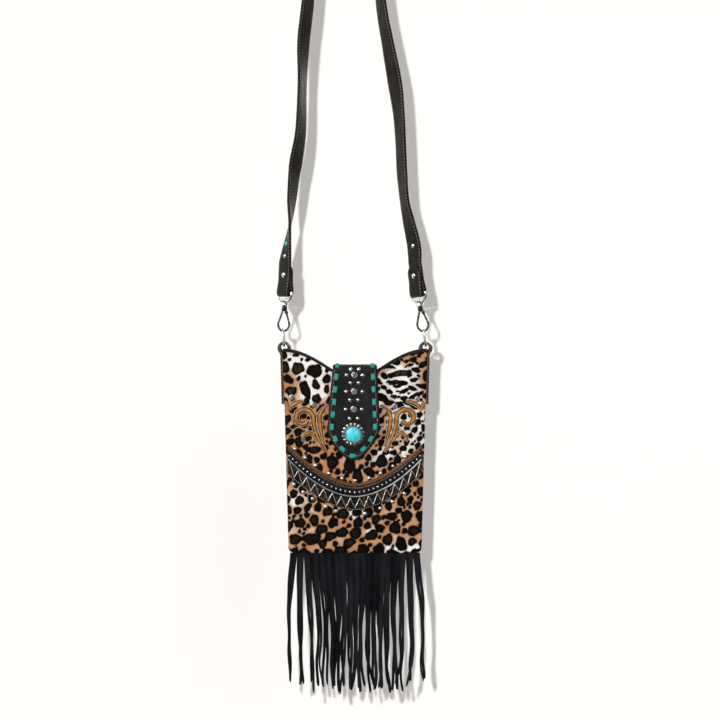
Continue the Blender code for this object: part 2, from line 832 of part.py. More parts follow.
def flap_layer(name, inner, outer, trim):
    """One layer of the tab: from its hinge over the back edge, across the mouth and down the front to its tip.

    inner and outer are distances from the tab's inner face.
    """
    bottom = FLAP_TIP_Z + trim
    rings = []

    def add(half, inner_point, outer_point):
        ring = []
        for sign, point in ((-1, inner_point), (1, inner_point), (1, outer_point), (-1, outer_point)):
            ring.append(Vector((sign * (half - trim), point.y, point.z)))
        rings.append(ring)

    fold = BEND_Z + FLAP_BEND
    add(FLAP_TOP_HALF, Vector((0.0, HINGE_Y, fold + inner)), Vector((0.0, HINGE_Y, fold + outer)))
    quarter = math.pi / 2 * (FLAP_BEND + FLAP_THICK)
    for k in (3, 2, 1, 0):
        run = BEND_Z + quarter * k / 3
        add(FLAP_TOP_HALF, wrap(0.0, run, inner), wrap(0.0, run, outer))
    add(FLAP_WIDE_HALF, wrap(0.0, FLAP_WIDE_Z, inner), wrap(0.0, FLAP_WIDE_Z, outer))
    for share in (0.24, 0.45, 0.62, 0.76, 0.87, 0.95, 1.0):
        z = FLAP_WIDE_Z - (FLAP_WIDE_Z - bottom) * share
        add(flap_half(z), wrap(0.0, z, inner), wrap(0.0, z, outer))
    return loft(name, rings)


def lace_track(inset):
    """Places round the tab's edge as (x, run), from the top left down round the tip to the top right."""
    quarter = math.pi / 2 * (FLAP_BEND + FLAP_THICK)
    edge = [Vector((FLAP_TOP_HALF, BEND_Z + quarter))]
    steps = 60
    for k in range(steps + 1):
        z = BEND_Z - (BEND_Z - FLAP_TIP_Z) * math.sin(math.pi / 2 * k / steps)
        edge.append(Vector((flap_half(z), z)))
    right = []
    for i, point in enumerate(edge):
        before, after = edge[max(i - 1, 0)], edge[min(i + 1, len(edge) - 1)]
        along = (after - before).normalized()
        inward = Vector((along.y, -along.x))
        moved = point + inward * inset
        if moved.x > 0:
            right.append(moved)
    lowest = Vector((0.0, FLAP_TIP_Z + inset))
    return [Vector((-p.x, p.y)) for p in right] + [lowest] + list(reversed(right))


def along_track(track, distance):
    """Place and direction at a distance along a track."""
    for a, b in zip(track, track[1:]):
        length = (b - a).length
        if distance <= length or b is track[-1]:
            return a + (b - a) * (distance / length), (b - a).normalized()
        distance -= length


def track_length(track):
    return sum((b - a).length for a, b in zip(track, track[1:]))


def lace_middles(track):
    """Distance along the track of the middle of each stitch that shows."""
    pitch = (track_length(track) - LACE_STITCH) / (LACE_STITCHES - 1)
    return [LACE_STITCH / 2 + pitch * k for k in range(LACE_STITCHES)]


def build_lace(frame, slits):
    """A flat lace that comes up through a slit, lies over the face for one stitch and goes down again."""
    track = lace_track(LACE_INSET)
    under = LACE_UNDER + LACE_THICK / 2
    over = FLAP_THICK + GAP + LACE_THICK / 2
    half_run = (LACE_STITCH - LACE_THICK) / 2
    rings = []

    def add_ring(distance, level, lean_along, lean_out):
        point, along = along_track(track, distance)
        across = Vector((-along.y, along.x))
        ring = []
        for side, edge in ((-1, -1), (1, -1), (1, 1), (-1, 1)):
            shift = across * side * LACE_WIDTH / 2 + along * edge * lean_along * LACE_THICK / 2
            ring.append(wrap(point.x + shift.x, point.y + shift.y, level + edge * lean_out * LACE_THICK / 2))
        rings.append(ring)

    def add_slit(distance):
        point, along = along_track(track, distance)
        across = Vector((-along.y, along.x))
        corners = []
        for a, b in ((-1, -1), (1, -1), (1, 1), (-1, 1)):
            place_on = point + across * a * (LACE_WIDTH / 2 + GAP) + along * b * (LACE_THICK / 2 + GAP)
            corners.append((place_on.x, place_on.y))
        slits.append(wrap_box(corners, FLAP_LINING + GAP / 2, FLAP_THICK + 2 * GAP))

    middles = lace_middles(track)
    for i, middle in enumerate(middles):
        starts, ends = i == 0, i == len(middles) - 1
        add_ring(middle - half_run, under, -1, 0 if starts else 1)
        add_ring(middle - half_run, over, -1, 1)
        if along_track(track, middle)[0].y > BEND_Z:
            add_ring(middle - half_run / 3, over, 0, 1)
            add_ring(middle + half_run / 3, over, 0, 1)
        add_ring(middle + half_run, over, 1, 1)
        add_ring(middle + half_run, under, 1, 0 if ends else 1)
        if i in (0, len(middles) - 2):
            add_ring((middle + middles[i + 1]) / 2, under, 0, 1)
        add_slit(middle - half_run)
        add_slit(middle + half_run)
    place(loft("turquoise_lace", rings), TURQUOISE, frame)


def build_flap_root(frame):
    """The sewn end of the tab on the back panel, stepped over the binding and turned over the mouth."""
    panel_face = PANEL_Y + GAP
    low = BEND_Z - FLAP_ROOT_LENGTH
    step_top = mouth_height(0.0) - BINDING_HEIGHT - GAP
    levels = []
    for k in range(4):
        angle = math.pi / 2 * k / 3
        half = FLAP_TOP_HALF - CORNER_RADIUS * (1 - math.sin(angle))
        levels.append((low + CORNER_RADIUS * (1 - math.cos(angle)), half, panel_face))
    levels.append((step_top - 3 * MM, FLAP_TOP_HALF, panel_face))
    levels.append((step_top, FLAP_TOP_HALF, FLAP_BACK_Y))
    rings = []
    for z, half, inner in levels:
        outer = inner + FLAP_THICK
        corners = ((-1, inner), (1, inner), (1, outer), (-1, outer))
        rings.append([Vector((sign * half, y, z)) for sign, y in corners])
    half = FLAP_TOP_HALF
    for angle in (0, 30, 60, 90):
        away = Vector((0.0, math.cos(math.radians(angle)), math.sin(math.radians(angle))))
        ring = []
        under, over = FLAP_BEND, FLAP_BEND + FLAP_THICK
        for sign, reach in ((-1, under), (1, under), (1, over), (-1, over)):
            ring.append(Vector((sign * half, FLAP_BACK_Y - FLAP_BEND, BEND_Z)) + away * reach)
        rings.append(ring)
    place(loft("flap_root", rings), BLACK, frame)


def build_flap(frame):
    room = LACE_THICK + 2 * GAP
    place(flap_layer("flap_lining", 0.0, FLAP_LINING - room, 0.8 * MM), BLACK, frame)
    face = place(flap_layer("flap_face", FLAP_LINING + GAP, FLAP_THICK, 0.4 * MM), BLACK, frame)
    slits = []
    build_lace(frame, slits)
    combine(face, make_tool(joined_lofts("lace_slits", slits), frame), "DIFFERENCE")
    build_flap_root(frame)


def facing_front(x, y, z):
    """A place whose local Z points out of the front of the bag."""
    return Matrix.Translation((x, y, z)) @ Matrix.Rotation(math.pi / 2, 4, "X")


def build_snap(frame):
    male_back = FLAP_INNER_Y + GAP
    female_front = front_point(0.0, CONCHO_Z).y - GAP
    room = female_front - male_back
    thick = (room - GAP) / 2
    male = turned("snap_stud", [(0, thick), (SNAP_RADIUS, thick), (SNAP_RADIUS, 0), (0, 0)])
    place(male, SILVER, frame, Matrix.Translation((0, male_back, CONCHO_Z)) @ Matrix.Rotation(-math.pi / 2, 4, "X"))
    female = turned("snap_socket", [(0, thick), (SNAP_RADIUS, thick), (SNAP_RADIUS, 0), (0, 0)])
    place(female, SILVER, frame, facing_front(0, female_front, CONCHO_Z))


def build_concho(frame):
    """A round setting with a ring of petals, and the stone in it."""
    face_y = FLAP_FACE_Y - GAP
    seat = CABOCHON_RADIUS + GAP
    rim = 2.0 * MM
    levels = (
        (CONCHO_RADIUS * 0.94, 0.0, 0.04),
        (CONCHO_RADIUS, 0.9 * MM, 0.06),
        (seat + 1.0 * MM, rim, 0.0),
        (seat, rim + 0.6 * MM, 0.0),
        (seat, 0.8 * MM, 0.0),
    )
    count = CONCHO_PETALS * 2
    rings = []
    for radius, height, lobe in levels:
        ring = []
        for k in range(count):
            angle = 2 * math.pi * k / count
            reach = radius * (1 + (lobe if k % 2 else -lobe))
            ring.append(Vector((reach * math.cos(angle), reach * math.sin(angle), height)))
        rings.append(ring)
    place(loft("concho", rings), SILVER, frame, facing_front(0, face_y, CONCHO_Z))
    base = 0.8 * MM + GAP
    profile = [(0, base + CABOCHON_HEIGHT)]
    girdle = 1.2 * MM
    for k in range(1, 5):
        angle = math.pi / 2 * k / 4
        height = girdle + (CABOCHON_HEIGHT - girdle) * math.cos(angle)
        profile.append((CABOCHON_RADIUS * math.sin(angle), base + height))
    profile += [(CABOCHON_RADIUS, base), (0, base)]
    place(turned("cabochon", profile, 16), STONE, frame, facing_front(0, face_y, CONCHO_Z))


def on_tab(x, run):
    """A place just off the tab's face whose local Z points out of it, round the fold too."""
    seat = wrap(x, run, FLAP_THICK + GAP)
    outwards = wrap(x, run, FLAP_THICK + 2 * GAP) - seat
    return Matrix.Translation(seat) @ outwards.to_track_quat("Z", "Y").to_matrix().to_4x4()


def build_flap_studs(frame):
    dome = [(0, DOME_HEIGHT), (DOME_RADIUS * 0.65, DOME_HEIGHT * 0.76), (DOME_RADIUS, 0), (0, 0)]
    places = []
    for down in PAIR_DROPS:
        places += [(-PAIR_HALF, FLAP_TOP_Z - down), (PAIR_HALF, FLAP_TOP_Z - down)]
    for down in TRIO_DROPS:
        places += [(-TRIO_HALF, FLAP_TOP_Z - down), (TRIO_HALF, FLAP_TOP_Z - down)]
    places.sort(key=lambda place_xz: (-place_xz[1], place_xz[0]))
    for i, (x, z) in enumerate(places):
        place(turned(f"dome_stud_{i + 1}", dome, 8), SILVER, frame, on_tab(x, z))
    setting = [
        (0, SETTING_HEIGHT),
        (SETTING_RADIUS * 0.6, SETTING_HEIGHT),
        (SETTING_RADIUS, SETTING_HEIGHT * 0.45),
        (SETTING_RADIUS, 0),
        (0, 0),
    ]
    for i, down in enumerate(TRIO_DROPS):
        stud = turned(f"crystal_stud_{i + 1}", setting, 8)
        place(stud, CRYSTAL, frame, on_tab(0, FLAP_TOP_Z - down))


# Rings, side tabs and swivel clips


def side_slope():
    return math.atan((TOP_HALF - BOTTOM_HALF) / BAG_HEIGHT)


def ring_seat(side):
    """Middle of the ring's straight bar, which the leather tab holds."""
    height = RING_SEAT_HEIGHT - RING_DROP
    return Vector((side * (half_width(height) - GAP - LEATHER / 2), 0.0, height))


def hook_seat(side, ring_lean):
    """Middle of the hook's lowest wire, from which the ring hangs."""
    lean = math.radians(ring_lean)
    return ring_seat(side) + Vector((math.sin(lean) * RING_DROP, 0.0, math.cos(lean) * RING_DROP))


def build_ring(name, side, ring_lean, frame):
    """A D-shaped ring whose round top takes the hook and whose straight bar lies in the leather loop."""
    top = HOOK_WIRE + RING_WIRE + GAP
    crown = top - RING_HALF
    corner = 1.6 * MM
    points = []
    for k in range(9):
        angle = math.pi * k / 8
        points.append(Vector((0.0, RING_HALF * math.cos(angle), crown + RING_HALF * math.sin(angle))))
    for side_y, first in ((-1, 180), (1, 270)):
        for k in range(3):
            angle = math.radians(first + 45 * k)
            points.append(
                Vector(
                    (
                        0.0,
                        side_y * (RING_HALF - corner) + corner * math.cos(angle),
                        -RING_DROP + corner + corner * math.sin(angle),
                    )
                )
            )
    made = tube_curve(f"{name}_ring", points, RING_WIRE, 1, cyclic=True)
    seat = hook_seat(side, ring_lean)
    turn = Matrix.Rotation(math.radians(ring_lean), 4, "Y")
    place(made, SILVER, frame, Matrix.Translation(seat) @ turn)


def build_side_tab(name, side, frame):
    """A leather strip looped round the ring's bar, with one leg outside the gusset and one inside."""
    wall = LEATHER / 2 + GAP + TAB_THICK / 2
    drop = TAB_LOOP_RADIUS - TAB_THICK / 2 - RING_WIRE - GAP
    centre = ring_seat(side) - Vector((0.0, 0.0, drop))
    meet = BAG_HEIGHT - TAB_LOOP_RADIUS - TAB_THICK - centre.z
    line = [(wall, meet - TAB_OUTER_LENGTH), (wall, meet - TAB_OUTER_LENGTH / 2), (wall, meet)]
    sweep = 110
    for k in range(10):
        angle = math.radians(-sweep / 2 + (180 + sweep) * k / 9)
        line.append((TAB_LOOP_RADIUS * math.cos(angle), TAB_LOOP_RADIUS * math.sin(angle)))
    line += [(-wall, meet), (-wall, meet - TAB_INNER_LENGTH)]
    slope = side_slope()
    rows = []
    for y in (-TAB_WIDTH / 2, TAB_WIDTH / 2):
        row = []
        for x, z in line:
            lean = min(0.0, z) * math.tan(slope)
            row.append(Vector((side * (x + lean), y, z)))
        rows.append(row)
    made = sheet_object(f"{name}_side_tab", rows, TAB_THICK)
    made.modifiers["thickness"].offset = 0
    made.modifiers["thickness"].use_even_offset = True
    place(made, BLACK, frame, Matrix.Translation(centre))


def gate_foot():
    """Where the belly of the hook ends and the line up to the gate's pivot starts."""
    return Vector((HOOK_HALF, 0.0, HOOK_BELLY))


def build_hook(name, clip):
    """The hook with its barrel, and the post and head that turn in the eye."""
    head_bottom = BARREL_TOP + EYE_BOSS_HEIGHT + 2 * GAP
    profile = [
        (0, head_bottom + HEAD_HEIGHT),
        (HEAD_RADIUS, head_bottom + HEAD_HEIGHT * 0.6),
        (HEAD_RADIUS, head_bottom),
        (POST_RADIUS, head_bottom),
        (POST_RADIUS, BARREL_TOP),
        (BARREL_RADIUS, BARREL_TOP),
        (BARREL_RADIUS, BARREL_BOTTOM + 0.8 * MM),
        (BARREL_RADIUS * 0.6, BARREL_BOTTOM),
        (0, BARREL_BOTTOM),
    ]
    hook = place(turned(f"{name}_hook", profile, 10), GUNMETAL, clip)
    arm_top = Vector((-BARREL_RADIUS * 0.45, 0.0, BARREL_BOTTOM + 1.4 * MM))
    belly_left = Vector((-HOOK_HALF, 0.0, HOOK_BELLY))
    wire = [arm_top, arm_top.lerp(belly_left, 0.5), arm_top.lerp(belly_left, 0.9)]
    for k in range(9):
        angle = math.pi * (k / 8 - 0.5)
        wire.append(Vector((HOOK_HALF * math.sin(angle), 0.0, HOOK_BELLY * (1 - math.cos(angle)))))
    pivot = Vector((GATE_PIVOT_X, 0.0, GATE_PIVOT_Z))
    up_gate = (pivot - gate_foot()).normalized()
    wire.append(gate_foot() + up_gate * NOSE_LENGTH)
    combine(hook, make_tool(meshed(tube_curve(f"{name}_hook_wire", wire, HOOK_WIRE, 1)), clip), "UNION")
    half = GATE_EYE_HALF + GAP
    reach = GATE_EYE_RADIUS + 0.2 * MM
    lug = block(
        f"{name}_lug",
        (GATE_PIVOT_X - reach, -half - LUG_WALL, GATE_PIVOT_Z - reach),
        (GATE_PIVOT_X + reach, half + LUG_WALL, BARREL_BOTTOM + 1.0 * MM),
    )
    combine(hook, make_tool(lug, clip), "UNION")
    room = GATE_EYE_RADIUS + GAP
    slot = block(
        f"{name}_gate_slot",
        (GATE_PIVOT_X - room, -half, GATE_PIVOT_Z - 3 * room),
        (GATE_PIVOT_X + 3 * room, half, GATE_PIVOT_Z + room),
    )
    combine(hook, make_tool(slot, clip), "DIFFERENCE")
    pin_end = Vector((0.0, half + LUG_WALL + 2 * GAP, 0.0))
    bore = round_bar(f"{name}_pin_bore", PIN_RADIUS + RUNNING_GAP, pivot - 2 * pin_end, pivot + 2 * pin_end, 8)
    combine(hook, make_tool(bore, clip), "DIFFERENCE")
    place(round_bar(f"{name}_gate_pin", PIN_RADIUS, pivot - pin_end, pivot + pin_end, 8), GUNMETAL, clip)


def build_gate(name, clip):
    """The sprung bar that closes the hook, hung on its pin."""
    pivot = Vector((GATE_PIVOT_X, 0.0, GATE_PIVOT_Z))
    holder = new_empty(f"{name}_gate_pivot", clip, Matrix.Translation(pivot))
    foot = gate_foot() - pivot
    tip = foot - foot.normalized() * (NOSE_LENGTH + 1.2 * GAP)
    eye = Vector((0.0, GATE_EYE_HALF, 0.0))
    gate = place(round_bar(f"{name}_gate", GATE_EYE_RADIUS, -eye, eye, 10), GUNMETAL, holder)
    bar = round_bar(f"{name}_gate_bar", GATE_WIRE, foot.normalized() * GATE_EYE_RADIUS * 0.6, tip, 6)
    combine(gate, make_tool(bar, holder), "UNION")
    bore = round_bar(f"{name}_gate_bore", PIN_RADIUS + RUNNING_GAP, -2 * eye, 2 * eye, 8)
    combine(gate, make_tool(bore, holder), "DIFFERENCE")


def build_eye(name, eye_frame):
    """The eye that the strap is folded round, with a boss that holds the hook's post."""
    low = BARREL_TOP + GAP
    boss = round_bar(f"{name}_eye", EYE_BOSS_RADIUS, (0, 0, low), (0, 0, low + EYE_BOSS_HEIGHT), 12)
    eye = place(boss, SILVER, eye_frame)
    half = STRAP_WIDTH / 2 + EYE_WIRE + 2 * GAP
    middle = low + EYE_BOSS_HEIGHT / 2
    points = [
        Vector((EYE_BOSS_RADIUS * 0.5, 0.0, middle)),
        Vector((half - 0.6 * MM, 0.0, EYE_HEIGHT - 5.6 * MM)),
        Vector((half, 0.0, EYE_HEIGHT - 2.0 * MM)),
        Vector((half - 0.4 * MM, 0.0, EYE_HEIGHT - 0.6 * MM)),
        Vector((half - 1.4 * MM, 0.0, EYE_HEIGHT)),
    ]
    points += [Vector((-p.x, 0.0, p.z)) for p in reversed(points)]
    wire = meshed(tube_curve(f"{name}_eye_wire", points, EYE_WIRE, 1, cyclic=True))
    combine(eye, make_tool(wire, eye_frame), "UNION")
    web_top = EYE_HEIGHT - EYE_WIRE - STRAP_THICK - 3 * GAP
    head_room = low + EYE_BOSS_HEIGHT
    rings = []
    for z, reach in ((middle, EYE_BOSS_RADIUS * 0.8), (web_top, half - 2.2 * MM)):
        thick = WEB_THICK / 2
        rings.append([Vector((x * reach, y * thick, z)) for x, y in ((-1, -1), (1, -1), (1, 1), (-1, 1))])
    combine(eye, make_tool(loft(f"{name}_eye_web", rings), eye_frame), "UNION")
    reach = HEAD_RADIUS + 2 * GAP
    room_top = head_room + HEAD_HEIGHT + 3 * GAP
    window = block(f"{name}_eye_window", (-reach, -reach, head_room), (reach, reach, room_top))
    combine(eye, make_tool(window, eye_frame), "DIFFERENCE")
    below, above = (0, 0, low - 2 * MM), (0, 0, low + EYE_BOSS_HEIGHT + 3 * MM)
    bore = round_bar(f"{name}_eye_bore", POST_RADIUS + RUNNING_GAP, below, above, 10)
    combine(eye, make_tool(bore, eye_frame), "DIFFERENCE")


def clip_matrix(side, ring_lean, clip_lean):
    return Matrix.Translation(hook_seat(side, ring_lean)) @ Matrix.Rotation(math.radians(clip_lean), 4, "Y")


def build_side(name, side, ring_lean, clip_lean, frame):
    build_side_tab(name, side, frame)
    build_ring(name, side, ring_lean, frame)
    clip = new_empty(f"{name}_clip", frame, clip_matrix(side, ring_lean, clip_lean))
    build_hook(name, clip)
    build_gate(name, clip)
    eye_frame = new_empty(f"{name}_eye_frame", clip, Matrix.Rotation(math.radians(-EYE_TURN), 4, "Z"))
    build_eye(name, eye_frame)


# Strap


def fold_frames(side, ring_lean, clip_lean):
    """Stations of one folded end of the strap, from the tongue's tip round the eye's bar to the long run.

    Each station is its middle, the direction of its width and half its width.
    """
    matrix = clip_matrix(side, ring_lean, clip_lean) @ Matrix.Rotation(math.radians(-EYE_TURN), 4, "Z")
    wrap = EYE_WIRE + GAP + STRAP_THICK / 2
    close = (STRAP_THICK + GAP) / 2
    run_side = -1 if side < 0 else 1
    line = []
    tip = TONGUE_LENGTH
    round_end = STRAP_WIDTH / 2
    for k in range(4):
        angle = math.pi / 2 * k / 3
        half = STRAP_WIDTH / 2 * (0.28 + 0.72 * math.sin(angle))
        line.append((-close, tip - round_end * (1 - math.cos(angle)), half))
    full = STRAP_WIDTH / 2
    line.append((-close, FOLD_RIVET_HEIGHT - 3.5 * MM, full))
    line.append((-(close + wrap) / 2, FOLD_RIVET_HEIGHT / 2, full))
    for k in range(6):
        angle = math.radians(180 + 180 * k / 5)
        line.append((wrap * math.cos(angle), wrap * math.sin(angle), full))
    line.append(((close + wrap) / 2, FOLD_RIVET_HEIGHT / 2, full))
    line.append((close, FOLD_RIVET_HEIGHT - 3.5 * MM, full))
    line.append((close, FOLD_RIVET_HEIGHT + 3.5 * MM, full))
    line.append((close, tip + 3 * MM, full))
    width = (matrix.to_3x3() @ Vector((1.0, 0.0, 0.0))).normalized()
    stations = []
    for y, z, half in line:
        point = matrix @ Vector((0.0, run_side * y, EYE_HEIGHT + z))
        stations.append((point, width, half))
    return stations


def width_direction(turn):
    return Vector((math.cos(math.radians(turn)), -math.sin(math.radians(turn)), 0.0))


def route_knots(route, first_point):
    """Points of one run of the strap, from its fold to the foot of the crown, with its turn at each."""
    side = -1 if first_point.x < 0 else 1
    start = Vector((*first_point, EYE_TURN))
    end = Vector((side * (CROWN_RADIUS + STRAP_THICK / 2), 0.0, CROWN_HEIGHT - CROWN_RADIUS, 90))
    knots = [start]
    for bow, share, turn in route:
        straight = start.lerp(end, share)
        knots.append(Vector((straight.x + bow, 0.0, straight.z, turn)))
    return knots + [end]


def run_frames(route, first_point):
    """Stations up one run of the strap, read from a smooth curve through its route."""
    knots = route_knots(route, first_point)
    path = smooth_path(knots, STRAP_STEP)
    return [(Vector(p[:3]), width_direction(p[3]), STRAP_WIDTH / 2) for p in path]


def crown_frames():
    """Stations over the top of the strap, from left to right."""
    radius = CROWN_RADIUS + STRAP_THICK / 2
    centre = CROWN_HEIGHT - CROWN_RADIUS
    frames = []
    for k in range(1, 10):
        angle = math.pi * (1 - k / 10)
        point = Vector((radius * math.cos(angle), 0.0, centre + radius * math.sin(angle)))
        frames.append((point, width_direction(90), STRAP_WIDTH / 2))
    return frames


def strap_stations():
    folds = {name: fold_frames(side, ring, clip) for name, side, ring, clip in SIDES}
    left = folds["left"][:-1] + run_frames(LEFT_ROUTE, folds["left"][-1][0])
    right = folds["right"][:-1] + run_frames(RIGHT_ROUTE, folds["right"][-1][0])
    return left + crown_frames() + list(reversed(right))


def strap_lie(stations, i):
    """Middle, width direction and outward direction of the strap at one of its stations."""
    before = stations[max(i - 1, 0)][0]
    after = stations[min(i + 1, len(stations) - 1)][0]
    along = (after - before).normalized()
    point, width, _ = stations[i]
    width = (width - along * width.dot(along)).normalized()
    return point, width, along.cross(width).normalized()


def strap_section(stations, i):
    point, width, out = strap_lie(stations, i)
    half = stations[i][2]
    thick = out * (STRAP_THICK / 2)
    return [
        point + width * half + thick,
        point - width * half + thick,
        point - width * half - thick,
        point + width * half - thick,
    ]


def rivet_profile(stack, cap):
    """A rivet with a shank as long as the leather it holds and a domed cap at either end."""
    half = stack / 2 + GAP
    shank = RIVET_SHANK
    rise = 0.9 * MM
    return [
        (0, half + rise),
        (cap * 0.7, half + rise * 0.75),
        (cap, half),
        (shank, half),
        (shank, -half),
        (cap, -half),
        (cap * 0.7, -half - rise * 0.75),
        (0, -half - rise),
    ]


def build_rivet(name, point, out, stack, cap, material, frame):
    turn = out.to_track_quat("Z", "Y").to_matrix().to_4x4()
    place(turned(name, rivet_profile(stack, cap), 8), material, frame, Matrix.Translation(point) @ turn)
    reach = out * (stack * 1.2)
    return round_bar(f"{name}_hole", RIVET_SHANK + GAP, point - reach, point + reach, 8)


def build_strap(frame):
    stations = strap_stations()
    rings = [strap_section(stations, i) for i in range(len(stations))]
    strap = place(loft("strap", rings), STRAP_BROWN, frame)
    holes = []
    for name, side, ring_lean, clip_lean in SIDES:
        matrix = clip_matrix(side, ring_lean, clip_lean) @ Matrix.Rotation(math.radians(-EYE_TURN), 4, "Z")
        point = matrix @ Vector((0.0, 0.0, EYE_HEIGHT + FOLD_RIVET_HEIGHT))
        out = (matrix.to_3x3() @ Vector((0.0, -1.0, 0.0))).normalized()
        stack = 2 * STRAP_THICK + GAP
        holes.append(build_rivet(f"{name}_fold_rivet", point, out, stack, FOLD_RIVET_CAP, SILVER, frame))
    left = route_knots(LEFT_ROUTE, fold_frames(*SIDES[0][1:])[-1][0])
    right = route_knots(RIGHT_ROUTE, fold_frames(*SIDES[1][1:])[-1][0])
    for name, knot, material in (
        ("left_strap_rivet", left[1], SILVER),
        ("left_turquoise_rivet", left[2], TURQUOISE),
        ("right_strap_rivet", right[1], SILVER),
    ):
        target = Vector(knot[:3])
        nearest = min(range(len(stations)), key=lambda i: (stations[i][0] - target).length)
        point, _, out = strap_lie(stations, nearest)
        holes.append(build_rivet(name, point, out, STRAP_THICK, RUN_RIVET_CAP, material, frame))
    for hole in holes:
        combine(strap, make_tool(hole, frame), "DIFFERENCE")


def shade_parts():
    for obj in PARTS.objects:
        if obj.type == "MESH":
            obj.data.shade_smooth()
            obj.data.set_sharp_from_angle(angle=math.radians(35))


def main():
    frame = new_empty("bag_frame", matrix=Matrix.Translation((0.0, 0.0, -CROWN_HEIGHT)))
    build_front_panel(frame)
    build_back_panel(frame)
    build_gusset(frame)
    build_lining(frame)
    build_binding("front_binding", frame, -1)
    build_binding("back_binding", frame, 1)
    build_band(frame)
    build_piping("tan_piping", BAND_TOP, TAN_PIPING, GAP, TAN_PIPING + GAP, 1, TAN, frame)
    cord_lift = BAND_THICK + 2 * GAP
    build_piping("silver_cord", BAND_MIDDLE, SILVER_CORD, cord_lift, 0.0, 0, SILVER, frame)
    build_scrolls(frame)
    build_fringe(frame)
    build_flap(frame)
    build_snap(frame)
    build_concho(frame)
    build_flap_studs(frame)
    for side in SIDES:
        build_side(*side, frame)
    build_strap(frame)
    shade_parts()


main()
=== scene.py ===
import bpy
import numpy as np
from math import cos, exp, pi, radians, sin, sqrt
from mathutils import Matrix, Vector


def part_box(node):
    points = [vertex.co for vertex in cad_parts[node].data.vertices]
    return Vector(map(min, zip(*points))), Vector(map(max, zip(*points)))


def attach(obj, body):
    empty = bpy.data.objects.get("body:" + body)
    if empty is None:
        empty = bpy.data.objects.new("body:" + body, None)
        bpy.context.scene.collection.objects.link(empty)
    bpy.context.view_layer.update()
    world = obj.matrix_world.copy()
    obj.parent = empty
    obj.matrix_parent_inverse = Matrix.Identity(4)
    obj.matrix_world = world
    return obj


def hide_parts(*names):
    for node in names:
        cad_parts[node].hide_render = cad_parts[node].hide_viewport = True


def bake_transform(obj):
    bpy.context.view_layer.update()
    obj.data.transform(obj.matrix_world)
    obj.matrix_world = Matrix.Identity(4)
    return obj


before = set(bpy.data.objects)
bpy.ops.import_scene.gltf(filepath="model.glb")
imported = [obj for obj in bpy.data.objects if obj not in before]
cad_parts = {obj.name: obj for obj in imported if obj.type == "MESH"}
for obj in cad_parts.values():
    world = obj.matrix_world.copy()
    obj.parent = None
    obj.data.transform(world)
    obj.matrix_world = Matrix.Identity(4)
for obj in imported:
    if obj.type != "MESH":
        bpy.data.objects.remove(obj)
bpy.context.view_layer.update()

MM = 0.001
TAU = 2 * pi
QUARTER = pi / 2

# Sizes repeated from the part's source

GAP = 0.3 * MM
BAG_HEIGHT = 197 * MM
BOTTOM_HALF = 64.5 * MM
TOP_HALF = 70.0 * MM
CORNER_RADIUS = 5 * MM
BAG_DEPTH = 18 * MM
LEATHER = 1.6 * MM
FRONT_BULGE = 2.2 * MM
SHOULDER_DROP = 20 * MM
MOUTH_HALF = 22 * MM
MOUTH_SAG = 6 * MM
BINDING_HEIGHT = 2.0 * MM
BINDING_WALL = 0.9 * MM
CROWN_HEIGHT = 848 * MM
CROWN_RADIUS = 23 * MM
STRAP_WIDTH = 17.5 * MM
STRAP_THICK = 2.6 * MM
TONGUE_LENGTH = 27 * MM
FOLD_RIVET_HEIGHT = 17 * MM
EYE_TURN = 50
HOOK_WIRE = 1.05 * MM
HOOK_HALF = 5.45 * MM
HOOK_BELLY = 7.4 * MM
BARREL_RADIUS = 2.7 * MM
BARREL_BOTTOM = 19.2 * MM
BARREL_TOP = 24.6 * MM
POST_RADIUS = 1.2 * MM
HEAD_RADIUS = 2.3 * MM
HEAD_HEIGHT = 1.1 * MM
EYE_BOSS_RADIUS = 3.6 * MM
EYE_BOSS_HEIGHT = 3.2 * MM
EYE_WIRE = 1.25 * MM
EYE_HEIGHT = 37.6 * MM
GATE_WIRE = 0.95 * MM
GATE_PIVOT = Vector((2.1, 0.0, 18.3)) * MM
NOSE_LENGTH = 2.6 * MM
RING_WIRE = 1.1 * MM
RING_HALF = 7.4 * MM
RING_DROP = 14.5 * MM
TAB_WIDTH = 11.6 * MM
TAB_THICK = 2.0 * MM
TAB_LOOP_RADIUS = 4.8 * MM
TAB_OUTER_LENGTH = 46 * MM
TAB_INNER_LENGTH = 18 * MM
SIDES = (("left", -1, -3.8, 2.4), ("right", 1, -7.6, -8.2))
RING_SEAT_HEIGHT = 215.5 * MM
BAND_TOP = (64.5 * MM, 37.0 * MM, 1.75)
BAND_MIDDLE = (54.9 * MM, 36.0 * MM, 1.85)
BAND_BOTTOM = (41.5 * MM, 34.5 * MM, 1.75)
BAND_THICK = 1.2 * MM
TAN_PIPING = 0.95 * MM
SILVER_CORD = 0.65 * MM
SCROLL_THICK = 1.3 * MM
STRANDS = 38
STRAND_WIDTH = 3.7 * MM
STRAND_THICK = 1.1 * MM
STRAND_LENGTH = 137 * MM
FRINGE_HALF = 63 * MM
HEADER_HEIGHT = 2.5 * MM
HEADER_THICK = 2.8 * MM
FRINGE_Y = -6.8 * MM
FLAP_TOP_HALF = 21.5 * MM
FLAP_WIDE_HALF = 25.5 * MM
FLAP_WIDE_Z = 122 * MM
FLAP_TIP_Z = 90 * MM
FLAP_TIP_POWER = 1.55
FLAP_TOP_Z = 183 * MM
FLAP_THICK = 3.7 * MM
FLAP_BEND = 2.5 * MM
FLAP_ROOT_LENGTH = 68 * MM
FLAP_STANDOFF = 2.4 * MM
FLAP_LEAN = 2.2 * MM
LACE_WIDTH = 3.6 * MM
LACE_THICK = 0.7 * MM
LACE_INSET = 4.6 * MM
LACE_STITCH = 6.6 * MM
LACE_STITCHES = 17
CONCHO_Z = 115.4 * MM
CONCHO_RADIUS = 11.3 * MM
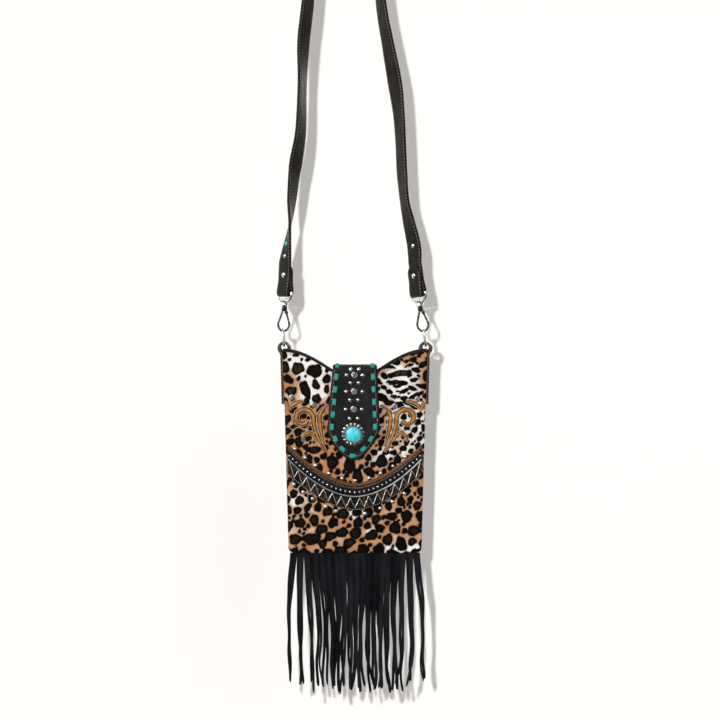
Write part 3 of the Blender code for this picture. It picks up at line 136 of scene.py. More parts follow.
CONCHO_PETALS = 16
CABOCHON_RADIUS = 7.4 * MM
CABOCHON_HEIGHT = 4.0 * MM
PANEL_Y = BAG_DEPTH / 2 + LEATHER
FLAP_INNER_Y = -(PANEL_Y + FRONT_BULGE + FLAP_STANDOFF)
FLAP_BACK_Y = PANEL_Y + BINDING_WALL + 2 * GAP
FLAP_FACE_Y = FLAP_INNER_Y - FLAP_THICK
BEND_Z = FLAP_TOP_Z - FLAP_THICK - FLAP_BEND
FOLD_RUN = QUARTER * (FLAP_BEND + FLAP_THICK)

# Lines of the two strap runs: bow sideways in millimetres, share of the height, turn of the strap
LEFT_ROUTE = (
    (0.2, 0.010, 55), (0.8, 0.033, 69), (1.7, 0.070, 90), (1.5, 0.110, 112),
    (1.8, 0.154, 122), (2.6, 0.181, 130), (4.8, 0.235, 120), (2.5, 0.324, 113),
    (0.5, 0.396, 127), (1.6, 0.467, 127), (2.2, 0.603, 118), (2.9, 0.769, 104),
    (1.9, 0.917, 92),
)
RIGHT_ROUTE = (
    (0.1, 0.030, 46), (-3.6, 0.075, 56), (-6.3, 0.111, 66), (-7.1, 0.164, 61),
    (-6.5, 0.218, 61), (-6.6, 0.271, 56), (-8.6, 0.325, 44), (-13.2, 0.397, 54),
    (-17.1, 0.468, 61), (-18.4, 0.604, 68), (-13.2, 0.770, 78), (-5.1, 0.917, 88),
)

WORLD = Matrix.Translation((0.0, 0.0, -CROWN_HEIGHT))


# Materials


class Nodes:
    """An emptied node tree, with short calls for the nodes that it needs."""

    def __init__(self, owner):
        owner.use_nodes = True
        self.tree = owner.node_tree
        self.tree.nodes.clear()

    def put(self, socket, value):
        if isinstance(value, bpy.types.Node):
            value = value.outputs[0]
        if isinstance(value, bpy.types.NodeSocket):
            self.tree.links.new(value, socket)
        elif isinstance(value, tuple) and len(value) == 3 and socket.type == "RGBA":
            socket.default_value = (*value, 1.0)
        else:
            socket.default_value = value

    def node(self, kind, *given, **named):
        """Adds a node. Values, sockets or other nodes are given for its inputs, in their order or by name."""
        made = self.tree.nodes.new(kind)
        for socket, value in zip(made.inputs, given):
            self.put(socket, value)
        for key, value in named.items():
            self.put(made.inputs[key], value)
        return made

    def math(self, operation, *values):
        made = self.node("ShaderNodeMath", *values)
        made.operation = operation
        return made.outputs[0]

    def span(self, value, low, high, to_low=0.0, to_high=1.0, kind="SMOOTHSTEP"):
        made = self.node("ShaderNodeMapRange", value, low, high, to_low, to_high)
        made.interpolation_type = kind
        return made.outputs[0]


class Shade(Nodes):
    """A principled material with patterns in the object's own space."""

    def __init__(self, name, **fixed):
        self.material = bpy.data.materials.new(name)
        super().__init__(self.material)
        self.shader = self.node("ShaderNodeBsdfPrincipled")
        self.node("ShaderNodeOutputMaterial", self.shader)
        for key, value in fixed.items():
            self.put(self.shader.inputs[key.replace("_", " ")], value)
        self.place = self.node("ShaderNodeTexCoord").outputs["Object"]

    def stretched(self, scale):
        return self.node("ShaderNodeMapping", Vector=self.place, Scale=scale).outputs[0]

    def noise(self, scale, detail=3.0, rough=0.55, place=None, distortion=0.0):
        values = {"Scale": scale, "Detail": detail, "Roughness": rough, "Distortion": distortion}
        return self.node("ShaderNodeTexNoise", Vector=place or self.place, **values).outputs["Fac"]

    def cells(self, scale):
        return self.node("ShaderNodeTexVoronoi", Vector=self.place, Scale=scale).outputs["Distance"]

    def attribute(self, name):
        made = self.node("ShaderNodeAttribute")
        made.attribute_name = name
        return made.outputs["Fac"]

    def mix(self, factor, a, b):
        made = self.node("ShaderNodeMix")
        made.data_type = "RGBA"
        for number, value in ((0, factor), (6, a), (7, b)):
            self.put(made.inputs[number], value)
        return made.outputs[2]

    def finish(self, colour, roughness, height=None, distance=0.0001, strength=1.0):
        """Gives the shader its colour, its roughness and, where a height is given, its bumps."""
        self.put(self.shader.inputs["Base Color"], colour)
        self.put(self.shader.inputs["Roughness"], roughness)
        if height is not None:
            bump = self.node("ShaderNodeBump", Height=height, Distance=distance, Strength=strength)
            self.put(self.shader.inputs["Normal"], bump)
        return self.material


def grain_leather(name, dark, light, grain, depth, low, high, specular):
    s = Shade(name, Specular_IOR_Level=specular)
    pebble = s.cells(grain)
    broad = s.noise(70.0, 4.0)
    fine = s.noise(grain * 1.6, 3.0)
    colour = s.mix(s.span(broad, 0.35, 0.7), dark, light)
    colour = s.mix(s.span(pebble, 0.15, 0.75, 0.0, 0.35), colour, light)
    height = s.math("MULTIPLY_ADD", pebble, -0.8, s.math("MULTIPLY", fine, 0.5))
    rough = s.span(s.noise(220.0, 3.0), 0.3, 0.7, low, high)
    return s.finish(colour, rough, height, depth)


def make_leopard():
    s = Shade("leopard_hide", Specular_IOR_Level=0.05)
    hair = s.noise(420.0, 4.0, 0.6, s.stretched((3.2, 1.0, 0.55)))
    ragged = s.noise(330.0, 3.0, 0.55, s.stretched((1.2, 1.0, 0.8)))
    wander = s.noise(60.0, 3.0, 0.5)
    tone = s.math("ADD", s.attribute("tone"), s.span(wander, 0.3, 0.7, -0.36, 0.36, "LINEAR"))
    ground = (0.80, 0.76, 0.70)
    cream, tan, orange = (0.64, 0.46, 0.33), (0.52, 0.29, 0.15), (0.47, 0.205, 0.07)
    for low, high, colour in ((0.18, 0.42, cream), (0.42, 0.72, tan), (0.72, 1.1, orange)):
        ground = s.mix(s.span(tone, low, high), ground, colour)
    ground = s.mix(s.span(s.noise(38.0, 3.0), 0.50, 0.70, 0.0, 0.42), ground, (0.42, 0.25, 0.23))
    shade = s.math("MULTIPLY", s.span(hair, 0.3, 0.75, 0.45, 0.0), s.span(tone, 0.1, 0.6, 0.35, 1.0))
    ground = s.mix(shade, ground, (0.20, 0.10, 0.06))
    spot = s.math("ADD", s.attribute("spot"), s.span(ragged, 0.25, 0.75, -0.55, 0.45, "LINEAR"))
    middle = s.math("MULTIPLY", s.attribute("core"), s.span(spot, -1.4, -3.0))
    dark = s.mix(s.span(hair, 0.4, 0.75, 0.0, 0.6), (0.0012, 0.001, 0.001), (0.010, 0.0065, 0.005))
    dark = s.mix(s.math("MULTIPLY", middle, s.span(ragged, 0.3, 0.6)), dark, (0.060, 0.031, 0.018))
    colour = s.mix(s.span(spot, 0.40, -0.30), ground, dark)
    halo = s.math("MULTIPLY", s.span(spot, 1.3, 0.3, 0.0, 0.5), s.span(tone, 0.1, 0.5, 0.25, 1.0))
    colour = s.mix(s.math("MULTIPLY", halo, s.span(spot, -0.1, 0.4)), colour, (0.20, 0.085, 0.035))
    rough = s.span(hair, 0.3, 0.7, 0.5, 0.7)
    return s.finish(colour, rough, s.math("ADD", hair, s.noise(45.0, 2.0)), 0.14 * MM, 0.8)


def make_suede():
    s = Shade("suede_black", Specular_IOR_Level=0.06)
    nap = s.noise(900.0, 5.0, 0.7, s.stretched((1.0, 1.0, 0.45)))
    broad = s.noise(75.0, 3.0, 0.6, s.stretched((1.4, 1.0, 0.25)))
    colour = s.mix(s.span(broad, 0.35, 0.68), (0.0035, 0.0035, 0.0045), (0.012, 0.012, 0.0145))
    # The lighter, bluish streaks of the nap are painted sheen.
    colour = s.mix(s.span(nap, 0.45, 0.8, 0.0, 0.5), colour, (0.026, 0.026, 0.030))
    return s.finish(colour, s.span(nap, 0.3, 0.7, 0.75, 0.95), nap, 0.18 * MM)


def make_tooled():
    s = Shade("tooled_tan", Specular_IOR_Level=0.35, Coat_Weight=0.12, Coat_Roughness=0.3)
    edge = s.attribute("edge")
    grain = s.noise(700.0, 4.0)
    broad = s.noise(150.0, 3.0)
    pits = s.cells(750.0)
    colour = s.mix(s.span(broad, 0.35, 0.65), (0.26, 0.088, 0.014), (0.50, 0.20, 0.038))
    colour = s.mix(s.span(pits, 0.35, 0.1, 0.0, 0.7), colour, (0.07, 0.022, 0.007))
    # The colour darkens from the middle of a scroll towards its edges, with a random wander.
    edge_dark = s.math("ADD", edge, s.span(broad, 0.3, 0.7, -0.2, 0.2, "LINEAR"))
    colour = s.mix(s.span(edge_dark, 0.42, 0.88), colour, (0.022, 0.008, 0.004))
    height = s.math("MULTIPLY_ADD", s.span(pits, 0.0, 0.4), 0.8, s.math("MULTIPLY", grain, 0.5))
    return s.finish(colour, s.span(grain, 0.3, 0.7, 0.32, 0.55), height, 0.2 * MM)


def make_band_leather():
    s = Shade("band_black_leather", Specular_IOR_Level=0.22)
    grain = s.cells(850.0)
    tooling = s.noise(230.0, 3.0, 0.6, distortion=1.2)
    colour = s.mix(s.span(s.noise(80.0, 3.0), 0.35, 0.7), (0.0025, 0.0022, 0.0022), (0.010, 0.0088, 0.0082))
    tint = s.math("MULTIPLY", s.attribute("zone"), s.span(tooling, 0.54, 0.66))
    colour = s.mix(tint, colour, (0.105, 0.050, 0.018))
    height = s.math("MULTIPLY_ADD", tooling, 1.6, s.math("MULTIPLY", grain, -0.6))
    return s.finish(colour, s.span(tooling, 0.3, 0.7, 0.28, 0.46), height, 0.25 * MM)


def make_lace():
    s = Shade("lace_turquoise", Specular_IOR_Level=0.4)
    grain = s.noise(650.0, 4.0)
    fine = s.cells(1500.0)
    colour = s.mix(s.span(grain, 0.3, 0.7), (0.008, 0.185, 0.150), (0.030, 0.335, 0.265))
    colour = s.mix(s.span(s.noise(150.0, 2.0), 0.55, 0.75, 0.0, 0.5), colour, (0.006, 0.09, 0.08))
    return s.finish(colour, s.span(grain, 0.3, 0.7, 0.35, 0.6), fine, 0.07 * MM)


def make_stone():
    s = Shade("stone_turquoise", Coat_Weight=0.6, Coat_Roughness=0.06, Specular_IOR_Level=0.55)
    cloud = s.noise(160.0, 5.0, 0.6, distortion=0.8)
    vein = s.math("ABSOLUTE", s.math("SUBTRACT", s.noise(210.0, 4.0, 0.6, distortion=1.6), 0.5))
    colour = s.mix(s.span(cloud, 0.3, 0.7), (0.030, 0.440, 0.560), (0.090, 0.620, 0.700))
    colour = s.mix(s.span(vein, 0.012, 0.0, 0.0, 0.35), colour, (0.05, 0.20, 0.24))
    return s.finish(colour, s.span(cloud, 0.3, 0.7, 0.10, 0.2))


def make_metal(name, bright, dull, low, high, scale=260.0):
    s = Shade(name, Metallic=1.0)
    stain = s.noise(scale, 5.0, 0.65)
    scuff = s.noise(scale * 5, 3.0, 0.6)
    colour = s.mix(s.span(stain, 0.42, 0.75), bright, dull)
    rough = s.span(s.math("ADD", stain, s.math("MULTIPLY", scuff, 0.35)), 0.45, 0.95, low, high)
    return s.finish(colour, rough, scuff, 0.02 * MM)


def make_cord(name, bright, dull, metallic=1.0, pitch=900.0):
    s = Shade(name, Metallic=metallic, Specular_IOR_Level=0.3)
    twist = s.attribute("twist")
    # The colour is dull in the grooves between the strands and bright on their crowns: painted shade in the
    # grooves.
    colour = s.mix(s.span(twist, 0.15, 0.7), dull, bright)
    colour = s.mix(s.span(s.noise(pitch, 3.0), 0.5, 0.8, 0.0, 0.5), colour, dull)
    return s.finish(colour, s.span(twist, 0.0, 1.0, 0.5, 0.28))


def make_thread(name, light, dark):
    s = Shade(name, Specular_IOR_Level=0.3)
    ply = s.noise(2600.0, 2.0, 0.6)
    colour = s.mix(s.span(ply, 0.3, 0.7), dark, light)
    colour = s.mix(s.span(s.noise(90.0, 3.0), 0.5, 0.75, 0.0, 0.6), colour, dark)
    return s.finish(colour, s.span(ply, 0.3, 0.7, 0.5, 0.75), ply, 0.05 * MM)


def make_cloth():
    s = Shade("lining_weave", Specular_IOR_Level=0.2)
    warp = s.noise(1800.0, 2.0, 0.5, s.stretched((6.0, 1.0, 1.0)))
    weft = s.noise(1800.0, 2.0, 0.5, s.stretched((1.0, 1.0, 6.0)))
    weave = s.math("MULTIPLY", warp, weft)
    colour = s.mix(s.span(weave, 0.1, 0.4), (0.035, 0.028, 0.024), (0.10, 0.082, 0.066))
    return s.finish(colour, s.span(weave, 0.1, 0.4, 0.7, 0.95), weave, 0.1 * MM)


def make_raw_edge():
    s = Shade("raw_edge_tan", Specular_IOR_Level=0.35)
    fibre = s.noise(1300.0, 4.0, 0.7)
    colour = s.mix(s.span(fibre, 0.3, 0.7), (0.20, 0.075, 0.026), (0.42, 0.18, 0.065))
    return s.finish(colour, s.span(fibre, 0.3, 0.7, 0.5, 0.8), fibre, 0.12 * MM)


def make_crystal():
    s = Shade("rhinestone", Specular_IOR_Level=0.9, Coat_Weight=1.0, Coat_Roughness=0.03)
    cut = s.noise(500.0, 2.0)
    # The grey and white patches stand in for the glints and dark reflections of the facets: painted
    # reflection.
    colour = s.mix(s.span(cut, 0.35, 0.65), (0.30, 0.31, 0.33), (0.85, 0.87, 0.90))
    s.put(s.shader.inputs["Metallic"], s.span(cut, 0.35, 0.65, 0.6, 0.95))
    return s.finish(colour, s.span(cut, 0.3, 0.7, 0.03, 0.12))


LEOPARD = make_leopard()
FLAP_BLACK = grain_leather(
    "flap_black_leather", (0.0025, 0.0022, 0.0025), (0.011, 0.010, 0.0108), 800.0, 0.3 * MM, 0.24, 0.42, 0.24
)
TRIM_BLACK = grain_leather(
    "trim_black_leather", (0.0025, 0.0022, 0.0022), (0.010, 0.0088, 0.0082), 900.0, 0.22 * MM, 0.26, 0.44, 0.2
)
BAND_LEATHER = make_band_leather()
STRAP_LEATHER = grain_leather(
    "strap_brown_leather", (0.006, 0.0048, 0.0043), (0.020, 0.0160, 0.0138), 900.0, 0.22 * MM, 0.30, 0.5, 0.11
)
SUEDE = make_suede()
TOOLED = make_tooled()
LACE = make_lace()
STONE = make_stone()
SILVER = make_metal("antique_silver", (0.56, 0.55, 0.53), (0.09, 0.085, 0.08), 0.16, 0.42, 520.0)
NICKEL = make_metal("polished_nickel", (0.84, 0.84, 0.84), (0.42, 0.42, 0.42), 0.12, 0.30)
GUNMETAL = make_metal("dark_gunmetal", (0.10, 0.10, 0.105), (0.028, 0.028, 0.03), 0.2, 0.42)
BEAD_METAL = make_metal("bead_gunmetal", (0.52, 0.52, 0.52), (0.22, 0.22, 0.22), 0.12, 0.3)
CRYSTAL = make_crystal()
SILVER_CORDING = make_cord("silver_cording", (0.80, 0.79, 0.76), (0.16, 0.155, 0.15))
BROWN_CORDING = make_cord("brown_piping", (0.19, 0.070, 0.024), (0.018, 0.007, 0.004), 0.0, 420.0)
CREAM_CORDING = make_cord("cream_piping", (0.66, 0.60, 0.50), (0.16, 0.12, 0.08), 0.0, 420.0)
PALE_THREAD = make_thread("pale_thread", (0.34, 0.325, 0.295), (0.12, 0.115, 0.105))
SILVER_THREAD = make_thread("silver_thread", (0.66, 0.65, 0.62), (0.22, 0.21, 0.20))
BLACK_THREAD = make_thread("black_thread", (0.035, 0.033, 0.032), (0.012, 0.011, 0.011))
CLOTH = make_cloth()
RAW_EDGE = make_raw_edge()


# Mesh helpers


class Form:
    """Collects vertices, faces, material numbers and point attributes, and makes one mesh piece of them."""

    def __init__(self):
        self.vertices, self.faces, self.kinds = [], [], []
        self.values = {}

    def point(self, place, **values):
        self.vertices.append(tuple(place))
        for key, value in values.items():
            self.values.setdefault(key, {})[len(self.vertices) - 1] = value
        return len(self.vertices) - 1

    def face(self, corners, kind=0):
        self.faces.append(tuple(corners))
        self.kinds.append(kind)

    def rings(self, rings, kind=0, closed=False, values=None):
        """Joins rings of points and closes both ends. values gives the attributes of a point of a ring."""
        numbers = [
            [self.point(place, **(values(i, j) if values else {})) for j, place in enumerate(ring)]
            for i, ring in enumerate(rings)
        ]
        count = len(numbers[0])
        pairs = list(zip(numbers, numbers[1:]))
        if closed:
            pairs.append((numbers[-1], numbers[0]))
        for low, high in pairs:
            for j in range(count):
                k = (j + 1) % count
                self.face((low[j], low[k], high[k], high[j]), kind)
        if not closed:
            self.face(reversed(numbers[0]), kind)
            self.face(numbers[-1], kind)

    def object(self, name, materials, body=None, matrix=WORLD, stands_for=(), sharp=None):
        mesh = bpy.data.meshes.new(name)
        mesh.from_pydata(self.vertices, [], self.faces)
        for key, given in self.values.items():
            attribute = mesh.attributes.new(key, "FLOAT", "POINT")
            numbers = np.zeros(len(self.vertices), np.float32)
            for i, value in given.items():
                numbers[i] = value
            attribute.data.foreach_set("value", numbers)
        for material in materials:
            mesh.materials.append(material)
        mesh.polygons.foreach_set("material_index", self.kinds)
        mesh.transform(matrix)
        mesh.validate()
        mesh.update()
        mesh.shade_smooth()
        if sharp is not None:
            mesh.set_sharp_from_angle(angle=radians(sharp))
        made = bpy.data.objects.new(name, mesh)
        bpy.context.scene.collection.objects.link(made)
        if body:
            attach(made, body)
        if stands_for:
            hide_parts(*stands_for)
        return made


def arc(steps, sweep=TAU, last=False):
    """Cosine and sine at even steps of an angle. last adds the end of the sweep."""
    return [(cos(sweep * k / steps), sin(sweep * k / steps)) for k in range(steps + last)]


def between(a, b, t):
    return a + (b - a) * t


def eased(t):
    """A share from 0 to 1 that starts and ends gently."""
    return t * t * (3 - 2 * t)


def direction_at(points, i):
    return (points[min(i + 1, len(points) - 1)] - points[max(i - 1, 0)]).normalized()


def carried(points, closed=False):
    """Places along a line, each with two directions across it that turn as little as they can."""
    count = len(points)
    frames = []
    side = None
    for i, point in enumerate(points):
        if closed:
            along = (points[(i + 1) % count] - points[(i - 1) % count]).normalized()
        else:
            along = direction_at(points, i)
        if side is None:
            side = along.orthogonal().normalized()
        side = (side - along * side.dot(along)).normalized()
        frames.append((point, side, along.cross(side).normalized()))
    return frames


def add_tube(form, points, radius, sides=8, closed=False, twist=None):
    """A round bar along a line. twist is the number of strands of a cord, and their turns in a metre."""
    rings, marks = [], []
    travelled = 0.0
    before = points[0]
    for point, a, b in carried(points, closed):
        travelled += (point - before).length
        before = point
        ring, mark = [], []
        for j in range(sides):
            angle = TAU * j / sides
            reach = radius
            if twist:
                strands, turns = twist
                ridge = abs(cos(strands / 2 * (angle + TAU * turns * travelled)))
                reach = radius * (0.80 + 0.25 * ridge)
                mark.append({"twist": ridge})
            ring.append(point + a * (cos(angle) * reach) + b * (sin(angle) * reach))
        rings.append(ring)
        marks.append(mark)
    form.rings(rings, 0, closed, (lambda i, j: marks[i][j]) if twist else None)


def add_turned(form, place, out, profile, sides=16):
    """A shape of revolution about a direction. profile is (radius, height) from the rim's foot to the top."""
    turn = out.to_track_quat("Z", "Y").to_matrix()
    rings = []
    for radius, height in profile:
        reach = max(radius, 1e-6)
        rings.append([place + turn @ Vector((reach * c, reach * s, height)) for c, s in arc(sides)])
    form.rings(rings)


def dome_profile(radius, height, sunk=0.3 * MM, steps=5):
    dome = [(radius * c, height * s) for c, s in arc(steps, QUARTER, True)[1:]]
    return [(radius, -sunk), (radius, 0.0)] + dome


def resample(points, step):
    """Places about one step apart along a polyline, ends included."""
    lengths = [(b - a).length for a, b in zip(points, points[1:])]
    total = sum(lengths)
    count = max(1, round(total / step))
    found, i, passed = [], 0, 0.0
    for k in range(count + 1):
        target = min(total, total * k / count)
        while i < len(lengths) - 1 and passed + lengths[i] < target:
            passed += lengths[i]
            i += 1
        share = (target - passed) / lengths[i] if lengths[i] else 0.0
        found.append(points[i].lerp(points[i + 1], min(1.0, max(0.0, share))))
    return found


# Stations of one stitch: share of its length, share of its thickness, height in thicknesses
STITCH = ((-0.5, 0.35, -0.5), (-0.36, 0.9, 0.1), (0.0, 1.0, 0.35), (0.36, 0.9, 0.1), (0.5, 0.35, -0.5))


def add_stitches(form, points, out, length, pitch, radius, sides=6):
    """A row of short raised stitches along a line. out gives the direction off the surface at a place."""
    line = resample(points, pitch)
    for a, b in zip(line, line[1:]):
        middle = (a + b) / 2
        along = (b - a).normalized()
        up = out(middle) if callable(out) else out
        up = (up - along * up.dot(along)).normalized()
        across = along.cross(up)
        rings = []
        for share, size, rise in STITCH:
            centre = middle + along * (share * length) + up * (rise * radius)
            thick = radius * size
            rings.append([centre + across * (c * thick) + up * (s * thick) for c, s in arc(sides)])
        form.rings(rings)


def smooth_path(points, step):
    """Points about one step apart on a smooth curve through the given points."""
    ends = [points[0] * 2 - points[1]] + list(points) + [points[-1] * 2 - points[-2]]
    path = []
    for a, b, c, d in zip(ends, ends[1:], ends[2:], ends[3:]):
        length = sum((c[i] - b[i]) ** 2 for i in range(3)) ** 0.5
        count = max(1, round(length / step))
        for k in range(count):
            t = k / count
            square, cube = 2 * a - 5 * b + 4 * c - d, 3 * b - a - 3 * c + d
            path.append(0.5 * (2 * b + (c - a) * t + square * t * t + cube * t**3))
    path.append(points[-1])
    return path


# Shape of the bag, as in the part's source


def half_width(z):
    wide = BOTTOM_HALF + (TOP_HALF - BOTTOM_HALF) * z / BAG_HEIGHT
    if z < CORNER_RADIUS:
        rise = CORNER_RADIUS - max(z, 0.0)
        wide -= CORNER_RADIUS - sqrt(max(0.0, CORNER_RADIUS**2 - rise**2))
    return wide


def mouth_height(x):
    """Height of the top edge, which dips in the middle and has a rounded shoulder on each side."""
    shoulder_foot = BAG_HEIGHT - SHOULDER_DROP
    across = abs(x)
    if across > MOUTH_HALF:
        t = min(1.0, (across - MOUTH_HALF) / (TOP_HALF - MOUTH_HALF))
        return shoulder_foot + SHOULDER_DROP * sin(QUARTER * t)
    return shoulder_foot - MOUTH_SAG * (1 - (across / MOUTH_HALF) ** 2)


def front_point(x, z, lift=0.0):
    """A place on the puffed front, or at a distance off it."""
    across = min(1.0, abs(x) / half_width(z))
    up = min(1.0, max(0.0, z / mouth_height(x)))
    bulge = FRONT_BULGE * (1 - across**4) * sin(pi * up) ** 0.8
    return Vector((x, -PANEL_Y - bulge - lift, z))


FRONT = Vector((0.0, -1.0, 0.0))
UP = Vector((0.0, 0.0, 1.0))


# Leopard print: generic marks whose size and ground colour change over the hide


def spot_size(x, z):
    """Mean half size, lengthening, lean and gap of the marks at a place on the front, in millimetres.

    The places are read off the photo: two upper corners, the middle beside the tab, above and below the band.
    """
    if z > 132 and x < -18:
        return 3.2, 1.3, 1.3, 2.2
    if x > 14 and z > 138:
        return 3.0, 1.7, -0.1, 0.55
    if x > 10 and z > 92:
        return 2.3, 1.2, 0.6, 0.75
    if z > 92:
        return 2.9, 1.25, 0.8, 0.55
    if z > 66 and abs(x) < 34:
        return 4.3, 1.25, 1.4, 0.5
    if z > 44:
        return 3.1, 1.2, 1.4, 0.6
    if z > 26:
        return 3.6, 1.15, 0.9, 0.6
    return 4.0, 1.2, 0.7, 0.75


TRIES = 15000
SHRINKING_TRIES = 11000


def scattered_spots(seed, flip=1, first=()):
    """Marks dropped at random, larger ones first, wherever there is room between those that are there."""
    rng = np.random.default_rng(seed)
    kept = list(first)
    for k, (x, z) in enumerate(zip(rng.uniform(-72, 72, TRIES), rng.uniform(-2, 199, TRIES))):
        size, stretch, lean, apart = spot_size(x * flip, z)
        size *= 1.25 - 0.85 * min(1.0, k / SHRINKING_TRIES) + 0.1 * rng.random()
        reaches = ((s[0], s[1], 1.02 * (size + (s[2] * s[3]) ** 0.5) + apart) for s in kept)
        if all((x - sx) ** 2 + (z - sz) ** 2 > reach**2 for sx, sz, reach in reaches):
            pull = stretch ** (0.3 + 0.5 * rng.random())
            turn = lean * flip + rng.normal(0.0, 0.45)
            core = 0.3 * rng.random() if size > 3.4 else 0.0
            kept.append((x, z, size * pull, size / pull, turn, rng.uniform(0, 6.28), core))
    return kept


# Soft patches of the ground colour: middle, half width and half height in millimetres, and the change of tone
GROUND_TONE = 0.84
GROUND_PATCHES = (
    (-44, 184, 30, 16, -1.0), (-40, 156, 18, 12, -0.75), (44, 164, 26, 24, -1.1), (54, 118, 26, 22, -0.95),
    (30, 96, 18, 10, -0.6), (-58, 50, 9, 11, -0.8), (50, 3, 22, 7, -1.1), (2, 37, 14, 6, -0.45),
    (-26, 168, 12, 20, -0.6), (-40, 40, 9, 6, -0.35), (-45, 22, 12, 4, -0.6), (-10, 86, 6, 12, -0.35),
    (-48, 94, 14, 4, -0.45), (12, 20, 7, 5, -0.3), (58, 193, 16, 5, 0.55), (67, 168, 4, 14, 0.45),
    (-62, 160, 8, 8, 0.45), (-44, 190, 5, 4, 0.4), (-20, 70, 30, 4, 0.3), (38, 150, 5, 3, 0.4),
    (-30, 98, 6, 10, 0.3),
)


def print_values(x, z, spots, flip=1):
    """Signed distance to the nearest mark in millimetres, brown of its middle, and tone of the ground."""
    nearest = np.full(x.shape, 9.0)
    core = np.zeros(x.shape)
    for cx, cz, rx, rz, turn, lump, brown in spots:
        reach = 1.6 * max(rx, rz) + 4
        near = (np.abs(x - cx) < reach) & (np.abs(z - cz) < reach)
        dx, dz = x[near] - cx, z[near] - cz
        c, s = cos(turn), sin(turn)
        u, v = (dx * c + dz * s) / rx, (-dx * s + dz * c) / rz
        angle = np.arctan2(v, u)
        rim = 1.12 + 0.06 * np.sin(2 * angle + lump) + 0.08 * np.sin(3 * angle + 2.3 * lump)
        rim += 0.05 * np.sin(5 * angle + 4.1 * lump)
        gap = (np.hypot(u, v) / rim - 1) * (rx * rz) ** 0.5
        closer = gap < nearest[near]
        core[near] = np.where(closer, brown, core[near])
        nearest[near] = np.where(closer, gap, nearest[near])
    tone = np.full(x.shape, GROUND_TONE)
    for cx, cz, wx, wz, change in GROUND_PATCHES:
        tone += change * np.exp(-((x * flip - cx) / wx) ** 2 - ((z - cz) / wz) ** 2)
    return nearest, core, np.clip(tone, 0.0, 1.2)


# The larger marks: middle, half length and half width in millimetres, turn, lumpiness, brown of the middle
BIG_MARKS = (
    (-55.5, 179.1, 5.4, 5.6, 0.2, 1.0, 0.6), (-39.3, 176.7, 6.8, 6.0, 0.3, 2.6, 0.1),
    (-67.6, 180.0, 3.8, 5.0, 0.0, 4.0, 0.3), (-48.2, 158.5, 8.4, 4.2, -1.25, 0.4, 0.1),
    (-38.1, 163.5, 5.2, 2.9, -1.2, 5.1, 0.5), (-62.0, 157.0, 5.0, 4.2, 0.4, 3.2, 0.9),
    (-37.2, 149.6, 3.8, 4.4, 0.0, 1.9, 0.4), (-27.5, 159.0, 4.0, 2.4, 1.4, 0.9, 0.4),
    (-26.5, 178.5, 3.4, 2.2, 1.2, 2.2, 0.2), (-45.5, 188.0, 2.6, 2.0, 0.3, 1.2, 0.3),
    (-57.5, 192.0, 3.2, 1.7, 0.0, 4.2, 0.0), (40.0, 185.5, 3.6, 3.4, 0.2, 2.2, 0.4),
    (29.2, 182.3, 4.2, 3.4, -0.3, 0.7, 0.5), (44.6, 174.2, 9.6, 2.9, 0.08, 1.4, 0.7),
    (28.6, 171.5, 3.6, 2.6, -0.6, 3.4, 0.2), (56.5, 187.5, 3.6, 2.4, 0.1, 5.0, 0.2),
    (38.0, 165.5, 5.4, 2.2, 0.1, 0.4, 0.2), (40.5, 161.5, 3.4, 1.5, 0.1, 2.6, 0.0),
    (28.0, 160.5, 3.6, 1.8, -0.3, 4.4, 0.0), (33.5, 156.4, 3.2, 2.2, -0.4, 1.0, 0.0),
    (25.5, 151.0, 6.2, 3.4, -0.2, 3.7, 0.0), (55.5, 159.8, 4.2, 1.9, -0.4, 2.9, 0.0),
    (59.0, 177.5, 4.0, 2.6, -0.3, 1.6, 0.2), (57.5, 168.0, 3.8, 2.0, 0.1, 0.2, 0.2),
    (47.5, 150.0, 3.6, 2.0, 0.1, 5.4, 0.1), (50.0, 186.0, 2.8, 1.8, 0.3, 3.0, 0.1),
    (-42.0, 13.5, 8.2, 5.2, 0.15, 2.9, 0.1), (50.0, 35.5, 5.0, 5.6, 0.4, 0.6, 0.1),
    (45.0, 8.5, 5.2, 6.4, 0.3, 4.4, 0.0), (39.0, 24.5, 5.6, 5.2, 0.7, 5.5, 0.1),
    (24.0, 24.0, 3.6, 4.8, 1.2, 1.5, 0.0), (-24.0, 16.0, 5.0, 4.2, 0.2, 0.9, 0.2),
    (-12.0, 38.0, 5.4, 5.0, 0.2, 2.0, 0.3), (-31.0, 53.0, 6.4, 4.0, -0.2, 3.3, 0.3),
    (-46.0, 44.0, 4.6, 3.0, 0.9, 1.1, 0.1), (-5.0, 86.0, 7.6, 5.2, 1.45, 1.1, 0.1),
    (14.0, 78.5, 5.8, 3.8, -0.5, 4.2, 0.1), (-22.0, 88.0, 5.0, 6.2, 0.3, 0.8, 0.1),
    (-40.0, 100.0, 6.2, 3.4, 0.1, 2.4, 0.2), (-54.0, 108.0, 4.2, 5.0, 0.1, 0.1, 0.2),
)


def shares_across(count):
    """Shares from -1 to 1, closer together at both ends."""
    shares = [2 * k / count - 1 for k in range(count + 1)]
    return [sin(QUARTER * share) * 0.35 + share * 0.65 for share in shares]


FINE_GRID = (190, 266)
COARSE_GRID = (90, 126)
EDGE_LEVELS = [0.0, 0.004, 0.010, 0.018, 0.028, 0.04]
BLACK_EDGE = {"spot": -4.0, "core": 0.0, "tone": 0.0}


